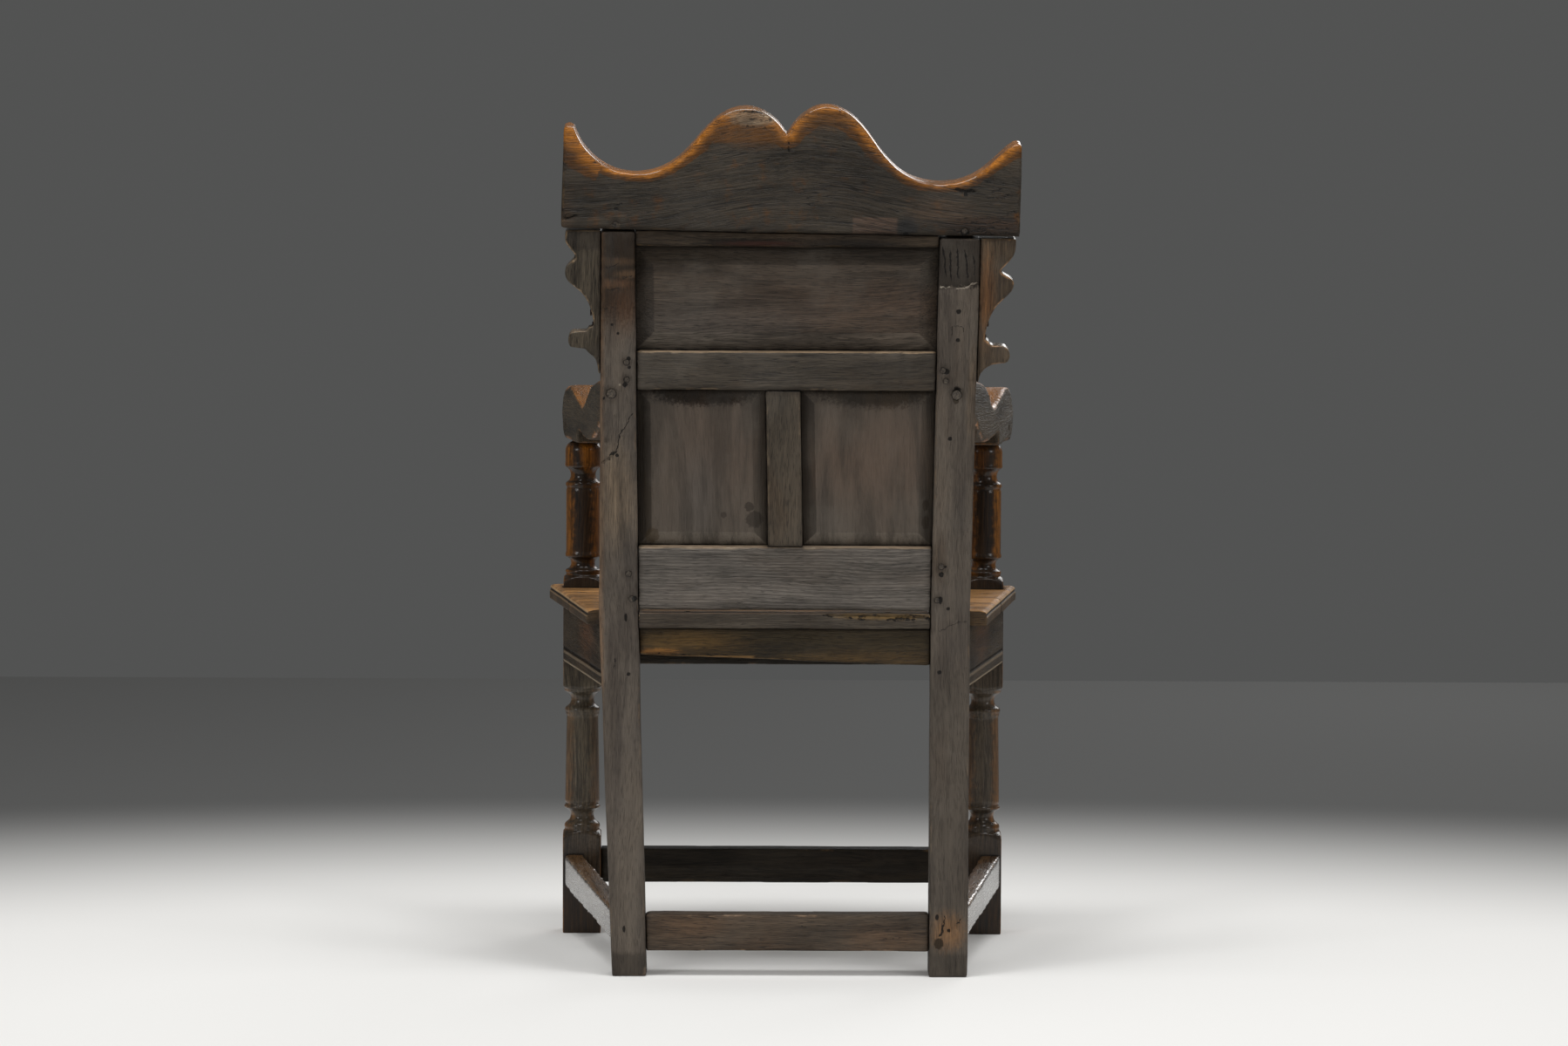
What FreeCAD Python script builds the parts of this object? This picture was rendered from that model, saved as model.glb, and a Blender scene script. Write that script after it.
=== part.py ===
"""Joined oak armchair with a panelled back, a shaped crest rail and turned front posts.

Lengths are in millimetres. +X points to the sitter's left, the chair faces -Y and +Z is up.
The origin lies on the floor, under the middle of the chair's box. Every joint is a tenon in a
mortise, held by oak pegs, and the panels stand loose in grooves. Two frames are used: the
floor frame, and the back frame, which leans with the back. In the back frame z runs up the
rear face of the back from the seat, and y is zero on that face and negative towards the front.
"""
import FreeCAD
import Part

import os
import re
from collections import defaultdict

import Sketcher
from FreeCAD import Placement, Rotation, Vector

SIDES = {"left": 1, "right": -1}

SIZES = [
    ("seat_top", 474, "floor to the top of the seat"),
    ("seat_thick", 20, "seat boards"),
    ("seat_side_overhang", 21, "front legs to the side edges of the seat"),
    ("seat_rear_overhang", 17, "widest rear leg to the side edges of the seat"),
    ("seat_front_overhang", 23, "front legs to the front edge of the seat"),
    ("seat_joint_share", 0.54, "place of the joint between the boards, of the seat's depth"),
    ("seat_joint_gap", 0.4, "open joint between the two seat boards"),
    ("seat_round", 7, "rounded upper edge of the seat"),
    ("seat_clear", 0.5, "seat boards to the legs that they fit round"),
    ("rake", 7, "lean of the back, in degrees"),
    ("leg_depth", 50, "rear legs, front to back"),
    ("left_outer_foot", 225.5, "centre line to the outside of the left rear leg's foot"),
    ("left_outer_seat", 244, "the same at the seat"),
    ("left_outer_top", 241, "the same at the top of the back"),
    ("left_inner_foot", 180.5, "centre line to the inside of the left rear leg's foot"),
    ("left_inner_seat", 193, "the same at the seat"),
    ("left_inner_top", 198.5, "the same at the top of the back"),
    ("right_outer_foot", 236.5, "centre line to the outside of the right rear leg's foot"),
    ("right_outer_seat", 236.5, "the same at the seat"),
    ("right_outer_top", 243.5, "the same at the top of the back"),
    ("right_inner_foot", 186.5, "centre line to the inside of the right rear leg's foot"),
    ("right_inner_seat", 185.5, "the same at the seat"),
    ("right_inner_top", 192, "the same at the top of the back"),
    ("back_length", 510, "seat to the level of the top widths, up the back"),
    ("left_stile_top", 496.5, "seat to the shoulder of the left stile, up the back"),
    ("right_stile_top", 489.5, "seat to the shoulder of the right stile, up the back"),
    ("front_leg_reach", 396, "rear face of the rear legs to the rear face of the front legs"),
    ("front_leg_side", 52, "square of the front legs"),
    ("front_leg_outer", 300, "centre line to the outside of the front legs"),
    ("foot_block_top", 131, "floor to the top of the front legs' foot blocks"),
    ("rail_block_low", 338.5, "floor to the underside of the front legs' upper blocks"),
    ("rail_block_top", 481, "floor to the top of the front legs' upper blocks"),
    ("post_tenon_radius", 12, "round tenon of the front post in the arm"),
    ("post_tenon_length", 36, "the same, length"),
    ("arm_under", 675, "floor to the underside of the arms at the front posts"),
    ("arm_rise", 100, "height of an arm from its underside to its top at the back"),
    ("arm_nose", 40, "middle of the front posts to the front end of an arm"),
    ("arm_rear_outer", 236, "centre line to the arm's outer face at the rear leg"),
    ("arm_left_front_outer", 305, "centre line to the left arm's outer face at its front end"),
    ("arm_right_front_outer", 315, "the same for the right arm"),
    ("arm_rear_width", 44, "width of an arm at the rear leg"),
    ("arm_front_width", 58, "width of an arm at its front end"),
    ("arm_tenon_low", 258, "seat to the arm tenon's underside, up the back"),
    ("arm_tenon_high", 290, "seat to the arm tenon's top, up the back"),
    ("arm_tenon_inset", 17, "outside of the stile to the arm tenon"),
    ("rail_tenon", 28, "length of the tenons of the back rails and seat rails"),
    ("tenon_thick", 10, "thickness of the rail tenons"),
    ("tenon_haunch", 9.5, "rail edge to tenon edge"),
    ("tenon_clear", 0.3, "tenon to mortise, all round"),
    ("shoulder_gap", 0.4, "open joint at the shoulders of the back rails"),
    ("joint_gap", 0.3, "closed joint between two pieces"),
    ("side_tenon", 18, "length of the tenons of side rails and side stretchers"),
    ("back_rail_thick", 30, "thickness of the back rails and the muntin"),
    ("back_rail_set", 4, "rear face of the stiles to the rear face of the rails"),
    ("lower_rail_low", 2.5, "seat to the lower back rail, up the back"),
    ("lower_rail_high", 86.5, "seat to the top of the lower back rail"),
    ("middle_rail_low", 291, "seat to the middle back rail"),
    ("middle_rail_high", 342, "seat to the top of the middle back rail"),
    ("top_rail_low", 477, "seat to the top back rail"),
    ("muntin_width", 44.5, "upright between the lower panels"),
    ("muntin_top_at", 7.5, "centre line to the middle of the muntin at its top"),
    ("muntin_foot_at", 3.3, "centre line to the middle of the muntin at its foot"),
    ("muntin_tenon", 24, "length of the muntin's tenons"),
    ("groove_depth", 9, "grooves for the panels"),
    ("groove_wide", 8.6, "the same, width"),
    ("groove_set", 17.7, "rear face of the stiles to the grooves"),
    ("panel_play", 1, "panel edge to the bottom of its groove"),
    ("panel_edge_thick", 6, "panel at its edge"),
    ("panel_field_set", 11, "rear face of the stiles to the raised field of a panel"),
    ("upper_bevel", 24, "bevel round the field of the upper panel"),
    ("lower_bevel", 18, "bevel round the field of a lower panel"),
    ("crest_left_half", 293, "centre line to the left end of the crest rail"),
    ("crest_right_half", 294, "centre line to the right end of the crest rail"),
    ("crest_low", 496, "seat to the underside of the crest rail, at the centre line"),
    ("crest_end_lift", 4, "rise of the underside at the left end, and fall at the right"),
    ("crest_rise", 163, "underside of the crest rail to its highest point"),
    ("crest_thick", 42, "crest rail, front to back"),
    ("crest_proud", 1, "crest rail behind the rear face of the stiles"),
    ("crest_tongue", 8, "height of the top back rail's tongue in the crest rail"),
    ("crest_tenon", 40, "length of the stile tenons in the crest rail"),
    ("crest_tenon_wide", 28, "the same, width"),
    ("crest_tenon_thick", 12, "the same, thickness"),
    ("crest_tenon_set", 19, "rear face of the stiles to these tenons"),
    ("ear_length", 186, "bracket under each end of the crest rail, up the back"),
    ("ear_width", 46, "the same, across"),
    ("ear_thick", 28, "the same, front to back"),
    ("ear_set", 3, "rear face of the stiles to the brackets"),
    ("ear_gap", 2.5, "open joint between the brackets and the crest rail"),
    ("front_rail_low", 368, "floor to the front seat rail"),
    ("side_rail_low", 374, "floor to the side seat rails"),
    ("rear_rail_low_left", 419, "floor to the rear seat rail at its left end"),
    ("rear_rail_low_right", 406, "the same at its right end"),
    ("seat_rail_thick", 30, "seat rails"),
    ("front_rail_set", 3, "front face of the front legs to the front seat rail"),
    ("rear_rail_set", 8, "rear face of the rear legs to the rear seat rail"),
    ("mould_line_low", 17, "rail edge to the scratched line of its moulding"),
    ("mould_line_wide", 4, "the same, width"),
    ("mould_line_deep", 2.5, "the same, depth"),
    ("rear_stretcher_low", 33, "floor to the rear stretcher"),
    ("rear_stretcher_high", 81, "floor to the top of the rear stretcher"),
    ("rear_stretcher_thick", 36, "rear stretcher, front to back"),
    ("rear_stretcher_set", 5, "rear face of the rear legs to the rear stretcher"),
    ("front_stretcher_low", 69.5, "floor to the front stretcher"),
    ("front_stretcher_high", 116, "floor to the top of the front stretcher"),
    ("front_stretcher_thick", 36, "front stretcher, front to back"),
    ("front_stretcher_set", 8, "front face of the front legs to the front stretcher"),
    ("front_stretcher_line", 10, "lower edge of the front stretcher to the line behind"),
    ("side_stretcher_front_high", 109, "floor to the top of the side stretchers, in front"),
    ("side_stretcher_rear_high", 79, "the same, at the rear legs"),
    ("side_stretcher_front_tall", 44, "height of the side stretchers, in front"),
    ("side_stretcher_rear_tall", 39, "the same, at the rear legs"),
    ("side_stretcher_thick", 26, "side stretchers"),
    ("side_stretcher_set", 2, "outside of the legs to the side stretchers"),
    ("peg_radius", 3.5, "joint pegs"),
    ("peg_clear", 0.15, "peg to its hole"),
    ("peg_sunk", 1.5, "peg end below the face that it enters"),
    ("peg_length", 38, "joint pegs"),
    ("side_peg_length", 30, "joint pegs of the side rails and side stretchers"),
    ("side_peg_setback", 10, "shoulder to the middle of such a peg"),
    ("peg_setback", 13, "shoulder to the middle of a peg"),
    ("rear_tenon_set", 18, "rear face of the rear legs to the seat rail's and stretcher's tenons"),
    ("stile_peg_far", 12, "inside of a stile to most of the pegs of the back rails"),
    ("stile_peg_near", 8, "inside of a stile to the nearer pegs"),
    ("middle_peg_high", 327.5, "seat to the upper left peg of the middle rail, up the back"),
    ("middle_peg_mid", 319, "the same for the upper right peg"),
    ("middle_peg_low", 305, "the same for the lower pegs"),
    ("lower_peg_high", 51, "seat to the upper left peg of the lower rail, up the back"),
    ("lower_peg_top", 62, "the same for the upper right peg"),
    ("lower_peg_low", 18, "the same for the lower pegs"),
    ("crest_peg_at", 223, "centre line to the pegs of the crest rail"),
    ("crest_peg_rise", 7, "underside of the crest rail to its pegs"),
    ("seat_peg_at", 130, "centre line to the seat pegs in the front and rear rails"),
    ("plug_at_left", 228, "centre line to the left plug"),
    ("plug_at_right", 215.5, "centre line to the right plug"),
    ("plug_rise", 287, "seat to the plugs, up the back"),
    ("plug_radius", 6, "round plugs behind the arm tenons"),
    ("plug_depth", 12, "the same, depth"),
    ("seat_peg_radius", 4, "pegs that hold the seat boards"),
    ("seat_peg_length", 45, "the same, length"),
    ("nail_radius", 1.6, "nails of the brackets"),
    ("nail_length", 34, "the same, length with the head"),
    ("nail_head_radius", 4, "heads of these nails"),
    ("nail_head_thick", 2, "the same, thickness"),
    ("overrun", 4, "how far a cut runs past the face that it opens"),
]

PLACES = [
    ("seat_front_half", "front_leg_outer + seat_side_overhang", "half width of the front edge"),
    ("seat_rear_half", "max(left_outer_seat; right_outer_seat) + seat_rear_overhang",
     "half width of the seat at the rear legs"),
    ("seat_front_reach", "front_leg_reach + front_leg_side + seat_front_overhang",
     "rear face of the rear legs to the front edge of the seat"),
    ("seat_joint_reach", "seat_joint_share * seat_front_reach",
     "rear face of the rear legs to the joint between the boards"),
    ("front_board_peg_reach", "(seat_joint_reach + front_leg_reach) / 2",
     "rear face of the rear legs to a seat peg in front"),
    ("rear_board_peg_reach", "(leg_depth + seat_joint_reach) / 2", "the same at the back"),
    ("rear_y", "(seat_front_reach - (crest_low + crest_rise) * sin(rake)"
     " - crest_proud * cos(rake)) / 2", "rear face of the rear legs"),
    ("stile_front_y", "rear_y - leg_depth", "front face of the rear legs"),
    ("front_leg_rear_y", "rear_y - front_leg_reach", "rear face of the front legs"),
    ("front_leg_front_y", "front_leg_rear_y - front_leg_side", "their front face"),
    ("front_leg_mid_y", "front_leg_rear_y - front_leg_side / 2", "their middle"),
    ("front_leg_inner", "front_leg_outer - front_leg_side", "their inner face"),
    ("front_leg_mid", "front_leg_outer - front_leg_side / 2", "their middle, across"),
    ("seat_under", "seat_top - seat_thick", "underside of the seat boards"),
    ("seat_front_y", "rear_y - seat_front_reach", "front edge of the seat"),
    ("back_rail_front", "-back_rail_set - back_rail_thick", "front face of the back rails"),
    ("tenon_rear", "(back_rail_front - back_rail_set + tenon_thick) / 2",
     "rear cheek of the back rails' tenons"),
    ("tenon_front", "tenon_rear - tenon_thick", "front cheek of these tenons"),
    ("groove_front", "-groove_set - groove_wide", "front side of the grooves"),
    ("panel_reach", "groove_depth - panel_play", "how far a panel enters its groove"),
    ("panel_front", "groove_front + joint_gap", "front face of the panels"),
    ("arm_back_y", "rear_y + arm_tenon_low * sin(rake) - leg_depth * cos(rake)",
     "rear end of an arm's outer face"),
    ("arm_run", "arm_back_y - front_leg_mid_y + arm_nose", "how far an arm runs forwards"),
] + [row for side in SIDES for row in (
    (f"arm_{side}_spread", f"arm_{side}_front_outer - arm_rear_outer", "how far it runs outwards"),
    (f"arm_{side}_length", f"sqrt(arm_run ^ 2 + arm_{side}_spread ^ 2)", "length of the arm"),
    (f"arm_{side}_at_post", f"arm_rear_outer + arm_{side}_spread"
     " * (arm_back_y - front_leg_mid_y) / arm_run", "outer face of the arm at the front post"),
)]

doc = FreeCAD.newDocument("WainscotChair")
HOME = {}


def fill_sheet(name, rows, formula):
    """Write rows of alias, content and note to a sheet, and remember where each alias lives."""
    sheet = doc.addObject("Spreadsheet::Sheet", name)
    for row, (alias, content, note) in enumerate(rows, 1):
        sheet.set(f"A{row}", alias)
        sheet.set(f"B{row}", "=" + cell(content) if formula else str(content))
        sheet.set(f"C{row}", note)
        sheet.setAlias(f"B{row}", alias)
        HOME[alias] = "" if formula else name + "."
    return sheet


def cell(text):
    """Put the sheet's name before every alias in an expression."""
    return re.sub(r"[a-z][a-z_]*", lambda word: HOME.get(word.group(), "") + word.group(), text)


sizes = fill_sheet("Sizes", SIZES, False)
places = fill_sheet("Places", PLACES, True)
HOME.update({alias: "Places." for alias, content, note in PLACES})
doc.recompute()

cuts = defaultdict(list)
groups = defaultdict(list)
nodes = {}


def value(text):
    """The number that an expression gives."""
    return float(sizes.evalExpression(cell(text)))


def bind(item, prop, text):
    item.setExpression(prop, cell(text))


def span(side, low, high):
    """A stretch across the chair, given from the centre line outwards, on one side."""
    return (low, high) if side == "left" else (f"-({high})", f"-({low})")


def grow(stretch, by="tenon_clear"):
    return (f"({stretch[0]}) - {by}", f"({stretch[1]}) + {by}")


def place(item, x, y, z, frame, turn=""):
    """Put an object at a point of the floor frame or of the leaning back frame.

    turn is along_y or along_x for a rod that lies that way, and empty for anything upright.
    """
    leaning = frame == "back"
    if turn == "along_x":
        item.Placement = Placement(Vector(), Rotation(Vector(0, 1, 0), 90))
    elif turn == "along_y" or leaning:
        item.Placement = Placement(Vector(), Rotation(Vector(1, 0, 0), -90))
    if leaning and turn != "along_x":
        bind(item, "Placement.Rotation.Angle", "-90 - rake" if turn else "-rake")
    bind(item, "Placement.Base.x", x)
    bind(item, "Placement.Base.y",
         f"rear_y + ({y}) * cos(rake) + ({z}) * sin(rake)" if leaning else y)
    bind(item, "Placement.Base.z",
         f"seat_top - ({y}) * sin(rake) + ({z}) * cos(rake)" if leaning else z)


def block(name, x, y, z, frame="floor"):
    box = doc.addObject("Part::Box", name)
    for prop, (low, high) in zip(("Length", "Width", "Height"), (x, y, z)):
        bind(box, prop, f"({high}) - ({low})")
    place(box, x[0], y[0], z[0], frame)
    return box


def rod(name, radius, length, start, frame, turn):
    cylinder = doc.addObject("Part::Cylinder", name)
    bind(cylinder, "Radius", radius)
    bind(cylinder, "Height", length)
    place(cylinder, *start, frame, turn)
    return cylinder


def polygon(body, plane, corners, lift="0"):
    """A closed sketch on one of a body's origin planes, each corner tied to the sheets."""
    sketch = body.newObject("Sketcher::SketchObject", body.Name + "Sketch")
    base = next(part for part in body.Origin.OriginFeatures if part.Role == plane)
    sketch.AttachmentSupport = (base, [""])
    sketch.MapMode = "FlatFace"
    bind(sketch, "AttachmentOffset.Base.z", lift)
    points = [Vector(value(across), value(up), 0) for across, up in corners]
    count = len(points)
    for index, point in enumerate(points):
        sketch.addGeometry(Part.LineSegment(point, points[(index + 1) % count]), False)
    for index in range(count):
        after = (index + 1) % count
        sketch.addConstraint(Sketcher.Constraint("Coincident", index, 2, after, 1))
    for index, corner in enumerate(corners):
        for kind, text in zip(("DistanceX", "DistanceY"), corner):
            number = value(text)
            tie = sketch.addConstraint(Sketcher.Constraint(kind, -1, 1, index, 1, number))
            sketch.setExpression(f"Constraints[{tie}]", cell(text))
    return sketch


def prism(name, plane, corners, low, high, frame="floor"):
    """A body padded from a polygon, between two levels square to its plane."""
    body = doc.addObject("PartDesign::Body", name)
    sketch = polygon(body, plane, corners)
    pad = body.newObject("PartDesign::Pad", name + "Pad")
    pad.Profile = sketch
    pad.Reversed = plane == "XZ_Plane"
    bind(pad, "Length", f"({high}) - ({low})")
    starts = {"XY_Plane": ("0", "0", low), "XZ_Plane": ("0", low, "0"), "YZ_Plane": (low, "0", "0")}
    place(body, *starts[plane], frame)
    return body


def dress(body, kind, amount, wanted):
    """Round or chamfer the edges of a body whose middle point passes a test."""
    doc.recompute()
    base = body.Tip
    world = body.Placement
    names = []
    for index, edge in enumerate(base.Shape.Edges, 1):
        middle = world.multVec(edge.valueAt((edge.FirstParameter + edge.LastParameter) / 2))
        if wanted(middle, edge):
            names.append(f"Edge{index}")
    feature = body.newObject("PartDesign::" + kind, body.Name + kind)
    feature.Base = (base, names)
    bind(feature, "Radius" if kind == "Fillet" else "Size", amount)
    return body


def boolean(kind, name, items):
    result = doc.addObject("Part::" + kind, name)
    result.Shapes = items
    result.Refine = True
    return result


def node(name, blank):
    """Cut the gathered mortises, grooves and holes into a piece and name it."""
    result = blank
    if cuts[name]:
        result = doc.addObject("Part::Cut", name)
        result.Base = blank
        result.Tool = cuts[name][0]
        if len(cuts[name]) > 1:
            result.Tool = boolean("MultiFuse", name + "_tools", cuts[name])
        result.Refine = True
    result.Label = name
    nodes[name] = result


def tenon(name, x, y, z, targets, frame="floor"):
    """One tenon, and its mortise a clearance larger, cut in each target."""
    mortise = block(name + "_mortise", grow(x), grow(y), grow(z), frame)
    for target in targets:
        cuts[target].append(mortise)
    return block(name + "_tenon", x, y, z, frame)


def peg(group, targets, point, frame, turn, radius="peg_radius", length="peg_length", way=1):
    """A peg sunk below the face at a point, and its hole in each target.

    way is 1 for a peg that runs towards plus along its axis, and -1 for the other way.
    """
    axis = {"along_x": 0, "along_y": 1, "": 2}[turn]
    name = f"{group}_{len(groups[group])}"
    peg_start = list(point)
    hole_start = list(point)
    if way > 0:
        peg_start[axis] = f"{point[axis]} + peg_sunk"
        hole_start[axis] = f"{point[axis]} - overrun"
    else:
        peg_start[axis] = f"{point[axis]} - peg_sunk - ({length})"
        hole_start[axis] = f"{point[axis]} - peg_sunk - ({length}) - peg_clear"
    groups[group].append(rod(name, radius, length, peg_start, frame, turn))
    reach = f"({length}) + peg_sunk + peg_clear + overrun"
    hole = rod(name + "_hole", f"{radius} + peg_clear", reach, hole_start, frame, turn)
    for target in targets:
        cuts[target].append(hole)


def leg_x(side, edge, height):
    """Distance from the centre line to a rear leg's edge, at a height under the seat."""
    foot = f"{side}_{edge}_foot"
    return f"({foot} + ({side}_{edge}_seat - {foot}) * ({height}) / seat_top)"


def stile_x(side, edge, height):
    """The same, at a height up the back."""
    foot = f"{side}_{edge}_seat"
    return f"({foot} + ({side}_{edge}_top - {foot}) * ({height}) / back_length)"


def signed(side, text):
    return text if side == "left" else f"-({text})"


def rear_leg(side):
    """A rear leg sawn from a plank: upright to the seat, raked above, tapered in front view."""
    name = f"rear_leg_{side}"
    top = f"{side}_stile_top"
    profile = prism(f"{name}_side", "YZ_Plane", [
        ("rear_y", "0"),
        ("rear_y", "seat_top"),
        (f"rear_y + {top} * sin(rake)", f"seat_top + {top} * cos(rake)"),
        (f"rear_y + {top} * sin(rake) - leg_depth * cos(rake)",
         f"seat_top + {top} * cos(rake) + leg_depth * sin(rake)"),
        ("stile_front_y", "seat_top + leg_depth * tan(rake / 2)"),
        ("stile_front_y", "0"),
    ], *span(side, "0", "seat_front_half"))
    high = "seat_top + back_length * cos(rake)"
    outer = [(signed(side, f"{side}_outer_{level}"), height)
             for level, height in (("foot", "0"), ("seat", "seat_top"), ("top", high))]
    inner = [(signed(side, f"{side}_inner_{level}"), height)
             for level, height in (("top", high), ("seat", "seat_top"), ("foot", "0"))]
    face = prism(f"{name}_face", "XZ_Plane", outer + inner, "front_leg_rear_y",
                 "rear_y + back_length")
    middle = f"({side}_outer_top + {side}_inner_top) / 2"
    half = "crest_tenon_wide / 2"
    top_tenon = tenon(f"{name}_top", span(side, f"{middle} - {half}", f"{middle} + {half}"),
                      ("-crest_tenon_set - crest_tenon_thick", "-crest_tenon_set"),
                      (f"{top} - overrun", f"{top} + crest_tenon"), ["crest_rail"], "back")
    sawn = boolean("MultiCommon", f"{name}_sawn", [profile, face])
    low = "lower_rail_high - overrun"
    high = "top_rail_low + overrun"
    groove = prism(f"{name}_groove", "XZ_Plane", [
        (signed(side, f"{stile_x(side, 'inner', low)} - overrun"), low),
        (signed(side, f"{stile_x(side, 'inner', low)} + groove_depth"), low),
        (signed(side, f"{stile_x(side, 'inner', high)} + groove_depth"), high),
        (signed(side, f"{stile_x(side, 'inner', high)} - overrun"), high),
    ], "groove_front", "-groove_set", "back")
    cuts[name].append(groove)
    return boolean("MultiFuse", f"{name}_blank", [sawn, top_tenon])


def cross_rail(name, edge, low, high, gap, faces, frame="floor"):
    """A rail between the rear legs. low and high hold its levels at the left and right end."""
    ends = []
    for side, levels in zip(("left", "right"), zip(low, high)):
        end = [(signed(side, f"{edge(side, 'inner', level)} - {gap}"), level) for level in levels]
        ends += end if side == "left" else end[::-1]
    return prism(f"{name}_board", "XZ_Plane", ends, *faces, frame)


def cross_tenon(name, low, high, frame):
    """A tenon run through a cross rail, out to both rear legs."""
    cheeks = ("tenon_front", "tenon_rear")
    if frame == "floor":
        cheeks = ("rear_y - rear_tenon_set - tenon_thick", "rear_y - rear_tenon_set")
    level = f"({low} + {high}) / 2"
    edge = stile_x if frame == "back" else leg_x
    reach = [f"{edge(side, 'inner', level)} + rail_tenon" for side in ("right", "left")]
    return tenon(name, (f"-({reach[0]})", reach[1]), cheeks, (low, high),
                 ["rear_leg_left", "rear_leg_right"], frame)


def groove_rail(name, edge, upwards):
    """Plough a panel groove along the upper or lower edge of a back rail."""
    stretch = (f"{edge} - groove_depth", f"{edge} + overrun")
    if not upwards:
        stretch = (f"{edge} - overrun", f"{edge} + groove_depth")
    cuts[name].append(block(f"{name}_{'upper' if upwards else 'lower'}_groove",
                            ("-seat_rear_half", "seat_rear_half"),
                            ("groove_front", "-groove_set"), stretch, "back"))


def muntin_x(side, height):
    """Place across the chair of a muntin's edge, at a height up the back."""
    climb = f"(({height}) - lower_rail_high) / (middle_rail_low - lower_rail_high)"
    middle = f"muntin_foot_at + (muntin_top_at - muntin_foot_at) * {climb}"
    return f"({middle} {'+' if side == 'left' else '-'} muntin_width / 2)"


def crest_under(height_at):
    """Underside of the crest rail up the back, at a place across the chair."""
    return f"(crest_low + crest_end_lift * ({height_at}) / crest_left_half)"


def panel(name, low, high, left, right, bevel):
    """A panel with a raised field. left and right give the opening's edges at a height."""
    def corners(out):
        stretch = [(low, f"({low}) - ({out})"), (high, f"({high}) + ({out})")]
        right_edge = [(f"{right(level)} - ({out})", place_z) for level, place_z in stretch]
        left_edge = [(f"{left(level)} + ({out})", place_z) for level, place_z in stretch]
        return right_edge + left_edge[::-1]

    body = doc.addObject("PartDesign::Body", name)
    plate = body.newObject("PartDesign::Pad", f"{name}_plate")
    plate.Profile = polygon(body, "XZ_Plane", corners("panel_reach"))
    plate.Reversed = True
    bind(plate, "Length", "panel_edge_thick")
    rim = polygon(body, "XZ_Plane", corners("panel_reach"), "-panel_edge_thick")
    field = polygon(body, "XZ_Plane", corners(f"-{bevel}"), "panel_field_set + panel_front")
    raised = body.newObject("PartDesign::AdditiveLoft", f"{name}_field")
    raised.Profile = rim
    raised.Sections = [field]
    raised.Ruled = True
    place(body, "0", "panel_front", "0", "back")
    return body


CREST_LEFT_SHARES = [(0.941, 0.822), (0.894, 0.656), (0.805, 0.521), (0.683, 0.463),
                     (0.546, 0.515), (0.437, 0.669), (0.321, 0.893), (0.191, 0.979),
                     (0.089, 0.914), (0.015, 0.744)]
CREST_RIGHT_SHARES = [(-0.015, 0.744), (0.054, 0.923), (0.153, 1.000), (0.286, 0.890),
                      (0.381, 0.669), (0.493, 0.466), (0.660, 0.388), (0.816, 0.472),
                      (0.918, 0.629), (0.963, 0.699)]
CREST_LEFT_TIP_SHARES = [(0.965, 0.838), (0.986, 0.822)]
CREST_RIGHT_TIP_SHARES = [(0.985, 0.712), (1.003, 0.702)]

EAR_LEFT_SHARES = {
    "lobe": [(0.93, 0.108), (0.77, 0.154), (0.70, 0.184)],
    "belly": [(0.86, 0.228), (0.985, 0.275), (0.95, 0.338), (0.65, 0.409), (0.42, 0.475),
              (0.25, 0.579), (0.19, 0.669)],
    "step": [(0.34, 0.674), (0.355, 0.699), (0.74, 0.702)],
    "fin": [(0.86, 0.724), (0.90, 0.764), (0.83, 0.813)],
    "foot": [(0.40, 0.826), (0.33, 0.853), (0.19, 0.880), (0.10, 0.925), (0.05, 1)],
}
EAR_RIGHT_SHARES = {
    "lobe": [(0.94, 0.12), (0.74, 0.185), (0.58, 0.225)],
    "belly": [(0.80, 0.262), (0.97, 0.30), (0.94, 0.352), (0.66, 0.43), (0.43, 0.50),
              (0.26, 0.60), (0.20, 0.705)],
    "step": [(0.32, 0.712), (0.34, 0.742), (0.68, 0.746)],
    "fin": [(0.85, 0.768), (0.91, 0.815), (0.82, 0.866)],
    "foot": [(0.45, 0.876), (0.30, 0.893), (0.17, 0.918), (0.09, 0.952), (0.05, 1)],
}
NAIL_SHARES = {"left": [(0.579, 0.25), (0.665, 0.19)], "right": [(0.60, 0.26), (0.695, 0.20)]}

ARM_TOP_SHARES = [(-0.05, 1.00), (0.164, 0.965), (0.294, 0.90), (0.378, 0.815), (0.462, 0.655),
                  (0.545, 0.56), (0.629, 0.585), (0.741, 0.694), (0.850, 0.754), (0.936, 0.685),
                  (0.987, 0.55), (1.0, 0.376), (0.992, 0.19), (0.968, 0.06), (0.925, 0)]
ARM_HEEL_SHARES = [(0.661, 0), (0.661, 0.178), (0.620, 0.18)]
ARM_BELLY_SHARES = [(0.536, 0.13), (0.429, 0.112), (0.313, 0.148), (0.224, 0.27), (0.155, 0.40),
                    (-0.05, 0.50)]

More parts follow.
